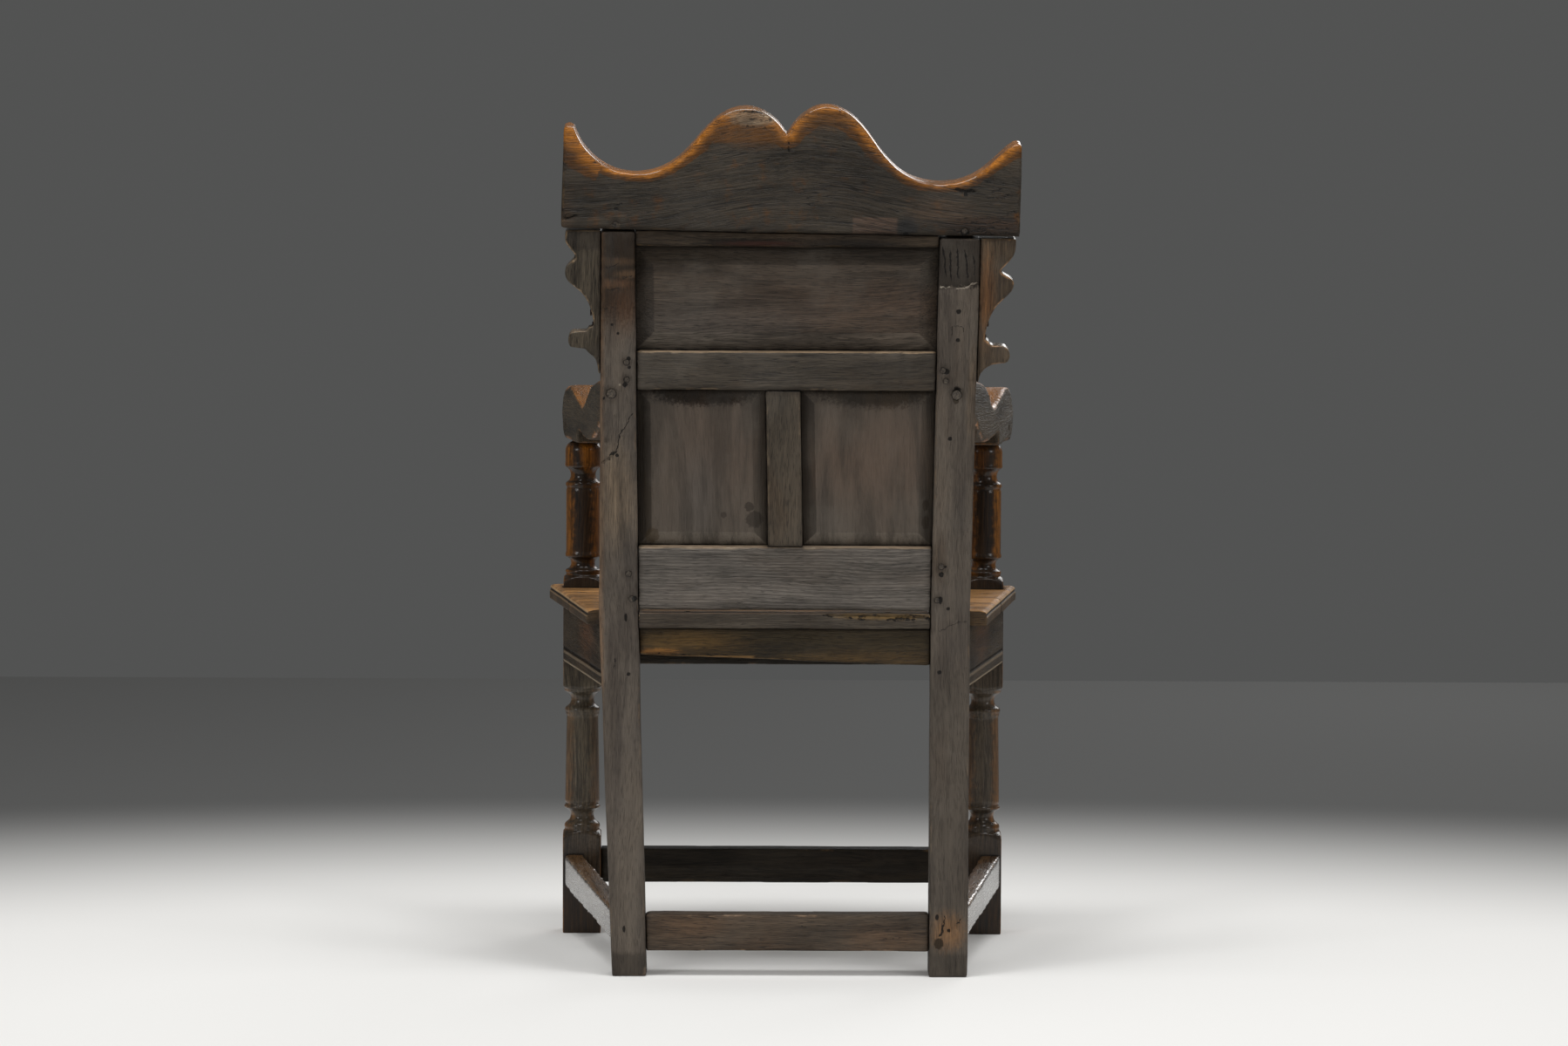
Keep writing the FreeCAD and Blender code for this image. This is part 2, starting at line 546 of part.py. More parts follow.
BLOCK_CORNER_SHARE = 1.43
LOWER_TURNING_SHARES = [
    (0.0, BLOCK_CORNER_SHARE),
    (0.026, 1.19, 0.046, 0.87),
    (0.065, 0.94, 0.100, 0.79),
    (0.140, 0.608, 0.188, 0.90),
    (0.199, 0.96, 0.210, 0.93),
    (0.213, 0.84),
    (0.226, 0.84),
    (0.229, 0.91),
    (0.806, 0.83),
    (0.809, 0.88),
    (0.821, 0.88),
    (0.824, 0.84),
    (0.845, 0.925, 0.865, 0.80),
    (0.901, 0.604, 0.959, 0.92),
    (0.968, 0.965),
    (0.985, 0.965),
    (1.0, BLOCK_CORNER_SHARE),
]
UPPER_TURNING_SHARES = [
    (0.0, BLOCK_CORNER_SHARE),
    (0.028, 1.17, 0.048, 0.86),
    (0.062, 0.86),
    (0.076, 0.925, 0.090, 0.81),
    (0.124, 0.623, 0.175, 0.885),
    (0.180, 0.93),
    (0.204, 0.93),
    (0.207, 0.892),
    (0.652, 0.892),
    (0.655, 0.85),
    (0.668, 0.85),
    (0.690, 0.925, 0.709, 0.79),
    (0.748, 0.654, 0.809, 0.905),
    (0.814, 0.954),
    (0.833, 0.954),
    (0.836, 0.938),
    (0.912, 0.938),
    (0.966, 0.826, 0.990, 0.56),
    (1.0, 0.56),
]


def scaled(shares, across, up):
    """Points of an outline from shares of two lengths, in the XZ plane."""
    return [Vector(share * across, 0, rise * up) for share, rise in shares]


def curve(points):
    spline = Part.BSplineCurve()
    spline.interpolate(points)
    return spline.toShape()


def straight(points):
    return [Part.LineSegment(a, b).toShape() for a, b in zip(points, points[1:])]


def sawn_board(name, edges, thick, low_y):
    """A board sawn to a closed outline in the XZ plane and thick along Y from low_y."""
    face = Part.Face(Part.Wire(Part.sortEdges(edges)[0]))
    face.translate(Vector(0, low_y, 0))
    feature = doc.addObject("Part::Feature", name)
    feature.Shape = face.extrude(Vector(0, thick, 0))
    return feature


def back_placement():
    return Placement(Vector(0, value("rear_y"), value("seat_top")),
                     Rotation(Vector(1, 0, 0), -value("rake")))


def crest_rail():
    """The crest rail: two humps with a notch between them, and a hollow to each horn."""
    left = value("crest_left_half")
    right = value("crest_right_half")
    rise = value("crest_rise")
    tilt = value("crest_end_lift")
    left_curve = scaled(CREST_LEFT_SHARES, left, rise)
    right_curve = scaled(CREST_RIGHT_SHARES, -right, rise)
    right_curve[0] = left_curve[-1]
    left_tip = scaled(CREST_LEFT_TIP_SHARES, left, rise)
    right_tip = scaled(CREST_RIGHT_TIP_SHARES, -right, rise)
    foot = [Vector(-right, 0, -tilt), Vector(left, 0, tilt)]
    edges = [curve(left_curve), curve(right_curve)]
    edges.append(Part.Arc(left_curve[0], left_tip[0], left_tip[1]).toShape())
    edges.append(Part.Arc(right_curve[-1], right_tip[0], right_tip[1]).toShape())
    edges += straight([left_tip[1], foot[1], foot[0], right_tip[1]])
    thick = value("crest_thick")
    board = sawn_board("crest_rail_board", edges, thick, value("crest_proud") - thick)
    board.Placement = back_placement().multiply(
        Placement(Vector(0, 0, value("crest_low")), Rotation()))
    return board


def ear_bracket(side):
    """The scrolled bracket outside a stile, under the end of the crest rail."""
    wide = value("ear_width")
    long = value("ear_length")
    sign = SIDES[side]
    top = value(crest_under(signed(side, "crest_left_half"))) - value("ear_gap")

    def against(height):
        return value(f"{stile_x(side, 'outer', str(height))} + joint_gap")

    def points(shares):
        heights = [top - drop * long for share, drop in shares]
        return [Vector(sign * (against(height) + share * wide), 0, height)
                for (share, drop), height in zip(shares, heights)]

    shares = EAR_LEFT_SHARES if side == "left" else EAR_RIGHT_SHARES
    head = points([(0, 0), (1, 0), (1, 0.045)])
    lobe, belly, step, fin, foot = (points(shares[stretch])
                                    for stretch in ("lobe", "belly", "step", "fin", "foot"))
    edges = straight(head) + [curve([head[-1]] + lobe), curve([lobe[-1]] + belly)]
    edges += straight([belly[-1]] + step) + [curve([step[-1]] + fin)]
    edges += straight([fin[-1], foot[0]]) + [curve(foot)]
    edges += straight([foot[-1], points([(0, 1)])[0], head[0]])
    thick = value("ear_thick")
    board = sawn_board(f"ear_bracket_{side}_board", edges, thick, -value("ear_set") - thick)
    board.Placement = back_placement()
    return board


def arm(side):
    """An arm sawn to its side view, tapered in plan and cut to the stile it meets."""
    name = f"arm_{side}"
    sign = SIDES[side]
    long = value(f"arm_{side}_length")
    rise = value("arm_rise")
    front = value("arm_front_width")
    top = scaled(ARM_TOP_SHARES, long, rise)
    heel = scaled(ARM_HEEL_SHARES, long, rise)
    belly = scaled(ARM_BELLY_SHARES, long, rise)
    edges = [curve(top)] + straight([top[-1]] + heel) + [curve([heel[-1]] + belly)]
    edges += straight([belly[-1], top[0]])
    spare = value("overrun")
    blank = sawn_board(f"{name}_elevation", edges, -sign * (front + 2 * spare), sign * spare)
    tail = top[0].x - spare
    nose = long + spare
    plan_corners = [Vector(tail, 0, -spare), Vector(nose, 0, -spare),
                    Vector(nose, -sign * front, -spare),
                    Vector(tail, -sign * value("arm_rear_width"), -spare)]
    plan = doc.addObject("Part::Feature", f"{name}_plan")
    plan.Shape = Part.Face(Part.makePolygon(plan_corners + plan_corners[:1])).extrude(
        Vector(0, 0, rise + 2 * spare))
    along = Vector(sign * value(f"arm_{side}_spread"), -value("arm_run"), 0)
    corner = Vector(sign * value("arm_rear_outer"), value("arm_back_y"), value("arm_under"))
    for feature in (blank, plan):
        feature.Placement = Placement(corner, Rotation(Vector(1, 0, 0), along))
    shaped = boolean("MultiCommon", f"{name}_shaped", [blank, plan])
    behind = block(f"{name}_behind", span(side, "0", "seat_front_half"),
                   ("-leg_depth - joint_gap", "0"),
                   ("lower_rail_high", "middle_rail_high"), "back")
    trimmed = doc.addObject("Part::Cut", f"{name}_trimmed")
    trimmed.Base = shaped
    trimmed.Tool = behind
    outer = stile_x(side, "outer", "arm_tenon_high")
    inside = f"{outer} - arm_tenon_inset"
    tongue = tenon(name, span(side, f"{inside} - tenon_thick", inside),
                   ("-leg_depth - rail_tenon", "-leg_depth + rail_tenon"),
                   ("arm_tenon_low", "arm_tenon_high"), [f"rear_leg_{side}"], "back")
    return boolean("MultiFuse", f"{name}_blank", [trimmed, tongue])


def turned(shares, low, high, half):
    """Edges of a turned profile. A row of two shares is a line, and of four an arc."""
    def point(up, out):
        return Vector(out * half, 0, low + up * (high - low))

    edges = []
    last = point(*shares[0])
    for row in shares[1:]:
        end = point(*row[-2:])
        if len(row) > 2:
            edges.append(Part.Arc(last, point(*row[:2]), end).toShape())
        else:
            edges.append(Part.LineSegment(last, end).toShape())
        last = end
    return edges


def front_leg(side):
    """A front leg turned from a square billet, from the floor to the tenon in the arm."""
    name = f"front_leg_{side}"
    half = value("front_leg_side") / 2
    corner = half * BLOCK_CORNER_SHARE
    arm_under = value("arm_under")
    top = value("arm_under + post_tenon_length")
    pin = value("post_tenon_radius")
    lower = turned(LOWER_TURNING_SHARES, value("foot_block_top"), value("rail_block_low"), half)
    upper = turned(UPPER_TURNING_SHARES, value("rail_block_top"), arm_under, half)
    foot = straight([Vector(0, 0, 0), Vector(corner, 0, 0), lower[0].firstVertex().Point])
    middle = straight([lower[-1].lastVertex().Point, upper[0].firstVertex().Point])
    head = straight([upper[-1].lastVertex().Point, Vector(pin, 0, arm_under),
                     Vector(pin, 0, top), Vector(0, 0, top), Vector(0, 0, 0)])
    profile = Part.Face(Part.Wire(Part.sortEdges(foot + lower + middle + upper + head)[0]))
    lathe = doc.addObject("Part::Feature", f"{name}_lathe")
    lathe.Shape = profile.revolve(Vector(0, 0, 0), Vector(0, 0, 1), 360)
    lathe.Placement = Placement(Vector(SIDES[side] * value("front_leg_mid"),
                                       value("front_leg_mid_y"), 0), Rotation())
    billet = block(f"{name}_billet", span(side, "front_leg_inner", "front_leg_outer"),
                   ("front_leg_front_y", "front_leg_rear_y"),
                   ("0", "arm_under + post_tenon_length"))
    middle_x = signed(side, "front_leg_mid")
    socket = rod(f"arm_{side}_socket", "post_tenon_radius + tenon_clear",
                 "post_tenon_length + tenon_clear + overrun",
                 (middle_x, "front_leg_mid_y", "arm_under - overrun"), "floor", "")
    cuts[f"arm_{side}"].append(socket)
    return boolean("MultiCommon", f"{name}_blank", [billet, lathe])


def seat_side(reach):
    """Half width of the seat at a distance in front of the rear face of the rear legs."""
    share = f"(({reach}) - leg_depth) / (seat_front_reach - leg_depth)"
    return f"(seat_rear_half + (seat_front_half - seat_rear_half) * {share})"


def on_seat_edge(middle, edge):
    """True for the front and side edges of the seat's top face."""
    flat = abs(middle.z - value("seat_top")) < value("joint_gap")
    outside = abs(middle.x) > value("front_leg_mid - leg_depth")
    front = abs(middle.y - value("seat_front_y")) < value("joint_gap")
    slanted = edge.BoundBox.YLength > value("leg_depth")
    return flat and (front or (outside and slanted))


def seat_boards():
    """Two boards, the rear one with a tongue that runs back between the stiles."""
    joint = "rear_y - seat_joint_reach"
    half = seat_side("seat_joint_reach")
    front = prism("seat_board_front_board", "XY_Plane", [
        (f"-{half}", f"{joint} - seat_joint_gap"),
        ("-seat_front_half", "seat_front_y"),
        ("seat_front_half", "seat_front_y"),
        (half, f"{joint} - seat_joint_gap"),
    ], "seat_under", "seat_top")
    for side in SIDES:
        cuts["seat_board_front"].append(block(
            f"seat_post_hole_{side}",
            grow(span(side, "front_leg_inner", "front_leg_outer"), "seat_clear"),
            grow(("front_leg_front_y", "front_leg_rear_y"), "seat_clear"),
            ("seat_under - overrun", "seat_top + overrun")))
    shoulder = "stile_front_y - seat_clear"
    outline = []
    for side in ("left", "right"):
        tongue = signed(side, f"{side}_inner_seat - seat_clear - shoulder_gap")
        edge = [(signed(side, half), joint), (signed(side, "seat_rear_half"), shoulder),
                (tongue, shoulder), (tongue, "rear_y")]
        outline += edge if side == "left" else edge[::-1]
    rear = prism("seat_board_rear_board", "XY_Plane", outline, "seat_under", "seat_top")
    return [dress(board, "Fillet", "seat_round", on_seat_edge) for board in (front, rear)]


def side_x(side, reach, height, inset):
    """Half width to a side rail's outer face at a distance in front of the rear, less an inset."""
    rear = leg_x(side, "outer", height)
    share = f"(({reach}) - leg_depth) / (front_leg_reach - leg_depth)"
    return f"({rear} + (front_leg_outer - {rear}) * {share} - ({inset}))"


def side_prism(name, side, height, insets, reaches, low, high):
    """A prism that follows the slant of a chair side in plan and the slope of its levels."""
    corners = [(signed(side, side_x(side, reach, height, inset)), f"rear_y - ({reach})")
               for inset, ends in zip(insets, (reaches, reaches[::-1])) for reach in ends]
    plan = prism(f"{name}_plan", "XY_Plane", corners, "0", "seat_top")

    def level(reach, pair):
        climb = f"(({reach}) - leg_depth) / (front_leg_reach - leg_depth)"
        return f"({pair[0]} + (({pair[1]}) - ({pair[0]})) * {climb})"

    outline = [(f"rear_y - ({reach})", level(reach, low)) for reach in reaches]
    outline += [(f"rear_y - ({reach})", level(reach, high)) for reach in reaches[::-1]]
    view = prism(f"{name}_view", "YZ_Plane", outline, *span(side, "0", "seat_front_half"))
    return boolean("MultiCommon", name, [plan, view])


def side_member(name, side, height, outer_set, thick, low, high):
    """A rail or stretcher along one side, with a slanted tenon run through to both ends.

    low and high hold its levels at the rear and at the front.
    """
    board = side_prism(f"{name}_board", side, height, (outer_set, f"{outer_set} + {thick}"),
                       ("leg_depth + joint_gap", "front_leg_reach - joint_gap"), low, high)
    cheek = f"{outer_set} + ({thick} - tenon_thick) / 2"
    far = f"{cheek} + tenon_thick"
    shoulders = [f"{level} + tenon_haunch" for level in low]
    tops = [f"{level} - tenon_haunch" for level in high]
    tongue = side_prism(f"{name}_tongue", side, height, (cheek, far),
                        ("leg_depth - side_tenon", "front_leg_reach + side_tenon"),
                        shoulders, tops)
    mortise = side_prism(f"{name}_mortise", side, height,
                         (f"{cheek} - tenon_clear", f"{far} + tenon_clear"),
                         ("leg_depth - side_tenon - tenon_clear",
                          "front_leg_reach + side_tenon + tenon_clear"),
                         [f"{level} - tenon_clear" for level in shoulders],
                         [f"{level} + tenon_clear" for level in tops])
    cuts[f"rear_leg_{side}"].append(mortise)
    cuts[f"front_leg_{side}"].append(mortise)
    return boolean("MultiFuse", f"{name}_blank", [board, tongue])


def side_pegs(group, name, side, height, levels):
    """Pegs from the outside through both tenons of a side rail or side stretcher."""
    way = -SIDES[side]
    rear_level, front_level = levels
    point = (signed(side, leg_x(side, "outer", height)), "stile_front_y + side_peg_setback",
             rear_level)
    peg(group, [f"rear_leg_{side}", name], point, "floor", "along_x",
        length="side_peg_length", way=way)
    point = (signed(side, "front_leg_outer"), "front_leg_rear_y - side_peg_setback", front_level)
    peg(group, [f"front_leg_{side}", name], point, "floor", "along_x",
        length="side_peg_length", way=way)


def between_front_legs(name, front_set, thick, low, high):
    """A rail between the front legs with a tenon run through to both, and its pegs."""
    rear = f"front_leg_front_y + {front_set} + {thick}"
    board = block(f"{name}_board", ("-front_leg_inner + joint_gap", "front_leg_inner - joint_gap"),
                  (f"front_leg_front_y + {front_set}", rear), (low, high))
    cheek = f"front_leg_front_y + {front_set} + ({thick} - tenon_thick) / 2"
    tongue = tenon(name, ("-front_leg_inner - rail_tenon", "front_leg_inner + rail_tenon"),
                   (cheek, f"{cheek} + tenon_thick"),
                   (f"{low} + tenon_haunch", f"{high} - tenon_haunch"),
                   ["front_leg_left", "front_leg_right"])
    return boolean("MultiFuse", f"{name}_blank", [board, tongue])


def muntin():
    """The upright between the lower panels, grooved on both sides and tenoned in two rails."""
    low = "lower_rail_high + joint_gap"
    high = "middle_rail_low - joint_gap"
    board = prism("back_muntin_board", "XZ_Plane", [
        (muntin_x("right", low), low),
        (muntin_x("left", low), low),
        (muntin_x("left", high), high),
        (muntin_x("right", high), high),
    ], "back_rail_front", "-back_rail_set", "back")
    pieces = [board]
    ends = {"foot": ("lower_rail_high - muntin_tenon", "lower_rail_high + overrun",
                     "lower_rail_high", "lower_back_rail"),
            "head": ("middle_rail_low - overrun", "middle_rail_low + muntin_tenon",
                     "middle_rail_low", "middle_back_rail")}
    for end, (bottom, top, shoulder, rail) in ends.items():
        pieces.append(tenon(f"back_muntin_{end}",
                            (f"{muntin_x('right', shoulder)} + tenon_haunch",
                             f"{muntin_x('left', shoulder)} - tenon_haunch"),
                            ("tenon_front", "tenon_rear"), (bottom, top), [rail], "back"))
    for side, out in (("left", "-"), ("right", "+")):
        back = "+" if side == "left" else "-"
        cuts["back_muntin"].append(prism(f"back_muntin_groove_{side}", "XZ_Plane", [
            (f"{muntin_x(side, low)} {out} groove_depth", f"{low} - overrun"),
            (f"{muntin_x(side, high)} {out} groove_depth", f"{high} + overrun"),
            (f"{muntin_x(side, high)} {back} overrun", f"{high} + overrun"),
            (f"{muntin_x(side, low)} {back} overrun", f"{low} - overrun"),
        ], "groove_front", "-groove_set", "back"))
    return boolean("MultiFuse", "back_muntin_blank", pieces)


blanks = {}
for side in SIDES:
    blanks[f"rear_leg_{side}"] = rear_leg(side)
    blanks[f"front_leg_{side}"] = front_leg(side)
    blanks[f"arm_{side}"] = arm(side)
    blanks[f"ear_bracket_{side}"] = ear_bracket(side)

blanks["crest_rail"] = crest_rail()
blanks["seat_board_front"], blanks["seat_board_rear"] = seat_boards()
blanks["back_muntin"] = muntin()

back_faces = ("back_rail_front", "-back_rail_set")
for name, low, high in (("lower_back_rail", "lower_rail_low", "lower_rail_high"),
                        ("middle_back_rail", "middle_rail_low", "middle_rail_high")):
    board = cross_rail(name, stile_x, (low, low), (high, high), "shoulder_gap", back_faces, "back")
    tongue = cross_tenon(name, f"{low} + tenon_haunch", f"{high} - tenon_haunch", "back")
    blanks[name] = boolean("MultiFuse", f"{name}_blank", [board, tongue])
    groove_rail(name, high, True)
groove_rail("middle_back_rail", "middle_rail_low", False)

crest_edges = [f"{crest_under('left_inner_top')} - joint_gap",
               f"{crest_under('-right_inner_top')} - joint_gap"]
board = cross_rail("top_back_rail", stile_x, ("top_rail_low", "top_rail_low"), crest_edges,
                   "shoulder_gap", back_faces, "back")
tongue = tenon("top_back_rail", ("-right_inner_seat + rail_tenon", "left_inner_seat - rail_tenon"),
               ("tenon_front", "tenon_rear"),
               ("crest_low - crest_end_lift - overrun", "crest_low + crest_tongue"),
               ["crest_rail"], "back")
blanks["top_back_rail"] = boolean("MultiFuse", "top_back_rail_blank", [board, tongue])
groove_rail("top_back_rail", "top_rail_low", False)

blanks["upper_back_panel"] = panel(
    "upper_back_panel", "middle_rail_high", "top_rail_low",
    lambda level: stile_x("left", "inner", level),
    lambda level: f"-{stile_x('right', 'inner', level)}", "upper_bevel")
blanks["lower_back_panel_left"] = panel(
    "lower_back_panel_left", "lower_rail_high", "middle_rail_low",
    lambda level: stile_x("left", "inner", level),
    lambda level: muntin_x("left", level), "lower_bevel")
blanks["lower_back_panel_right"] = panel(
    "lower_back_panel_right", "lower_rail_high", "middle_rail_low",
    lambda level: muntin_x("right", level),
    lambda level: f"-{stile_x('right', 'inner', level)}", "lower_bevel")

faces = ("rear_y - rear_rail_set - seat_rail_thick", "rear_y - rear_rail_set")
board = cross_rail("rear_seat_rail", leg_x, ("rear_rail_low_left", "rear_rail_low_right"),
                   ("seat_under", "seat_under"), "joint_gap", faces)
tongue = cross_tenon("rear_seat_rail", "rear_rail_low_left + tenon_haunch",
                     "seat_under - tenon_haunch", "floor")
blanks["rear_seat_rail"] = boolean("MultiFuse", "rear_seat_rail_blank", [board, tongue])

faces = ("rear_y - rear_stretcher_set - rear_stretcher_thick", "rear_y - rear_stretcher_set")
board = cross_rail("rear_stretcher", leg_x, ("rear_stretcher_low", "rear_stretcher_low"),
                   ("rear_stretcher_high", "rear_stretcher_high"), "joint_gap", faces)
tongue = cross_tenon("rear_stretcher", "rear_stretcher_low + tenon_haunch",
                     "rear_stretcher_high - tenon_haunch", "floor")
blanks["rear_stretcher"] = boolean("MultiFuse", "rear_stretcher_blank", [board, tongue])

blanks["front_seat_rail"] = between_front_legs(
    "front_seat_rail", "front_rail_set", "seat_rail_thick", "front_rail_low", "seat_under")
blanks["front_stretcher"] = between_front_legs(
    "front_stretcher", "front_stretcher_set", "front_stretcher_thick", "front_stretcher_low",
    "front_stretcher_high")
cuts["front_seat_rail"].append(block(
    "front_seat_rail_line", ("-front_leg_outer", "front_leg_outer"),
    ("front_leg_front_y + front_rail_set - overrun",
     "front_leg_front_y + front_rail_set + mould_line_deep"),
    ("front_rail_low + mould_line_low", "front_rail_low + mould_line_low + mould_line_wide")))
behind = "front_leg_front_y + front_stretcher_set + front_stretcher_thick"
cuts["front_stretcher"].append(block(
    "front_stretcher_line", ("-front_leg_inner", "front_leg_inner"),
    (f"{behind} - mould_line_deep", f"{behind} + overrun"),
    ("front_stretcher_low + front_stretcher_line",
     "front_stretcher_low + front_stretcher_line + mould_line_wide")))

for side in SIDES:
    rail = f"side_seat_rail_{side}"
    middle = "(side_rail_low + seat_under) / 2"
    blanks[rail] = side_member(rail, side, middle, "0", "seat_rail_thick",
                               ("side_rail_low", "side_rail_low"), ("seat_under", "seat_under"))
    line = "side_rail_low + mould_line_low"
    cuts[rail].append(side_prism(f"{rail}_line", side, middle, ("-overrun", "mould_line_deep"),
                                 ("leg_depth", "front_leg_reach"), (line, line),
                                 [f"{line} + mould_line_wide"] * 2))
    for share in ("0.3", "0.75"):
        level = f"side_rail_low + {share} * (seat_under - side_rail_low)"
        side_pegs("seat_rail_pegs", rail, side, middle, (level, level))
    bar = f"side_stretcher_{side}"
    front_low = "side_stretcher_front_high - side_stretcher_front_tall"
    rear_low = "side_stretcher_rear_high - side_stretcher_rear_tall"
    blanks[bar] = side_member(bar, side, "side_stretcher_rear_high", "side_stretcher_set",
                              "side_stretcher_thick", (rear_low, front_low),
                              ("side_stretcher_rear_high", "side_stretcher_front_high"))
    side_pegs("stretcher_pegs", bar, side, "side_stretcher_rear_high",
              ("side_stretcher_rear_high - side_stretcher_rear_tall / 2",
               "side_stretcher_front_high - side_stretcher_front_tall / 2"))
    across = signed(side, "front_leg_inner + peg_setback")
    for share in ("0.25", "0.7"):
        level = f"front_rail_low + {share} * (seat_under - front_rail_low)"
        peg("seat_rail_pegs", [f"front_leg_{side}", "front_seat_rail"],
            (across, "front_leg_front_y", level), "floor", "along_y")
    level = "(front_stretcher_low + front_stretcher_high) / 2"
    peg("stretcher_pegs", [f"front_leg_{side}", "front_stretcher"],
        (across, "front_leg_front_y", level), "floor", "along_y")
    start = (signed(side, f"arm_{side}_at_post"), "front_leg_mid_y",
             "arm_under + post_tenon_length / 2")
    peg("arm_post_pegs", [f"arm_{side}", f"front_leg_{side}"], start, "floor", "along_x",
        way=-SIDES[side])

BACK_PEGS = [
    ("left", "middle", "stile_peg_far", "middle_peg_high"),
    ("left", "middle", "stile_peg_far", "middle_peg_low"),
    ("left", "lower", "stile_peg_far", "lower_peg_high"),
    ("left", "lower", "stile_peg_near", "lower_peg_low"),
    ("right", "middle", "stile_peg_near", "middle_peg_mid"),
    ("right", "middle", "stile_peg_far", "middle_peg_low"),
    ("right", "lower", "stile_peg_far", "lower_peg_top"),
    ("right", "lower", "stile_peg_near", "lower_peg_low"),
]
for side, rail, reach, level in BACK_PEGS:
    point = (signed(side, f"{stile_x(side, 'inner', level)} + {reach}"), "0", level)
    peg("back_frame_pegs", [f"rear_leg_{side}", f"{rail}_back_rail"], point, "back", "along_y",
        way=-1)
for side in SIDES:
    across = signed(side, "crest_peg_at")
    peg("crest_pegs", ["crest_rail", f"rear_leg_{side}"],
        (across, "crest_proud", f"{crest_under(across)} + crest_peg_rise"), "back", "along_y",
        way=-1)
    peg("arm_plugs", [f"rear_leg_{side}"],
        (signed(side, f"plug_at_{side}"), "0", "plug_rise"), "back", "along_y",
        radius="plug_radius", length="plug_depth", way=-1)

SEAT_PEGS = [("seat_board_front", "front_board_peg_reach"),
             ("seat_board_rear", "rear_board_peg_reach")]
for board, reach in SEAT_PEGS:
    for side in SIDES:
        rail = f"side_seat_rail_{side}"
        across = side_x(side, reach, "seat_under", "seat_rail_thick / 2")
        peg("seat_board_pegs", [board, rail],
            (signed(side, across), f"rear_y - {reach}", "seat_top"), "floor", "",
            radius="seat_peg_radius", length="seat_peg_length", way=-1)
for side in SIDES:
    across = signed(side, "seat_peg_at")
    rows = (("seat_board_front", "front_seat_rail",
             "front_leg_front_y + front_rail_set + seat_rail_thick / 2"),
            ("seat_board_rear", "rear_seat_rail", "rear_y - rear_rail_set - seat_rail_thick / 2"))
    for board, rail, depth in rows:
        peg("seat_board_pegs", [board, rail], (across, depth, "seat_top"), "floor", "",
            radius="seat_peg_radius", length="seat_peg_length", way=-1)

for side in SIDES:
    top = f"({crest_under(signed(side, 'crest_left_half'))} - ear_gap)"
    for index, (drop, out) in enumerate(NAIL_SHARES[side]):
        level = f"{top} - {drop} * ear_length"
        face = f"{stile_x(side, 'outer', level)} + joint_gap + {out} * ear_width + nail_head_thick"
        depth = "-ear_set - ear_thick / 2"
        name = f"ear_nail_{side}_{index}"
        far = f"{face} - nail_length"
        shank = rod(f"{name}_shank", "nail_radius", "nail_length",
                    (signed(side, far if side == "left" else face), depth, level),
                    "back", "along_x")
        under = f"{face} - nail_head_thick"
        head = rod(f"{name}_head", "nail_head_radius", "nail_head_thick",
                   (signed(side, under if side == "left" else face), depth, level),
                   "back", "along_x")
        groups["ear_bracket_nails"].append(boolean("MultiFuse", name, [shank, head]))
        hole = rod(f"{name}_hole", "nail_radius + peg_clear", "nail_length + peg_clear",
                   (signed(side, f"{far} - peg_clear" if side == "left" else face), depth, level),
                   "back", "along_x")
        seat = rod(f"{name}_seat", "nail_head_radius + peg_clear", "nail_head_thick + overrun",
                   (signed(side, under if side == "left" else f"{face} + overrun"), depth, level),
                   "back", "along_x")
        cuts[f"ear_bracket_{side}"] += [hole, seat]
        cuts[f"rear_leg_{side}"].append(hole)

for name, blank in blanks.items():
    node(name, blank)
for group, items in groups.items():
    compound = doc.addObject("Part::Compound", group)
    compound.Links = items
    compound.Label = group
    nodes[group] = compound

doc.recompute()
for item in doc.Objects:
    if "Invalid" in item.State or "Error" in item.State:
        raise RuntimeError(f"{item.Name} is in state {item.State}")
os.makedirs("parts", exist_ok=True)
for name, item in nodes.items():
    if item.Shape.isNull() or not item.Shape.isValid():
        raise RuntimeError(f"{name} has no valid shape")
    item.Shape.exportStep(f"parts/{name}.step")
    box = item.Shape.BoundBox
    print(f"{name}: {len(item.Shape.Solids)} solids, volume {item.Shape.Volume:.0f},"
          f" x {box.XMin:.1f} {box.XMax:.1f}, y {box.YMin:.1f} {box.YMax:.1f},"
          f" z {box.ZMin:.1f} {box.ZMax:.1f}")
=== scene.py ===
# %% [markdown]
# # A joined oak armchair, seen from behind
#
# The chair is about 1.13 m tall. The joiner's pieces come packed from the CAD side, so their
# places are settled. This lesson gives each piece the soft arrises, worn ridges, wood and wax of
# a chair that is centuries old. Lengths are in metres, +Z is up and the chair faces -Y.

import math

import bmesh
import bpy
from mathutils import Matrix, Vector, noise
from mathutils.bvhtree import BVHTree
from mathutils.kdtree import KDTree


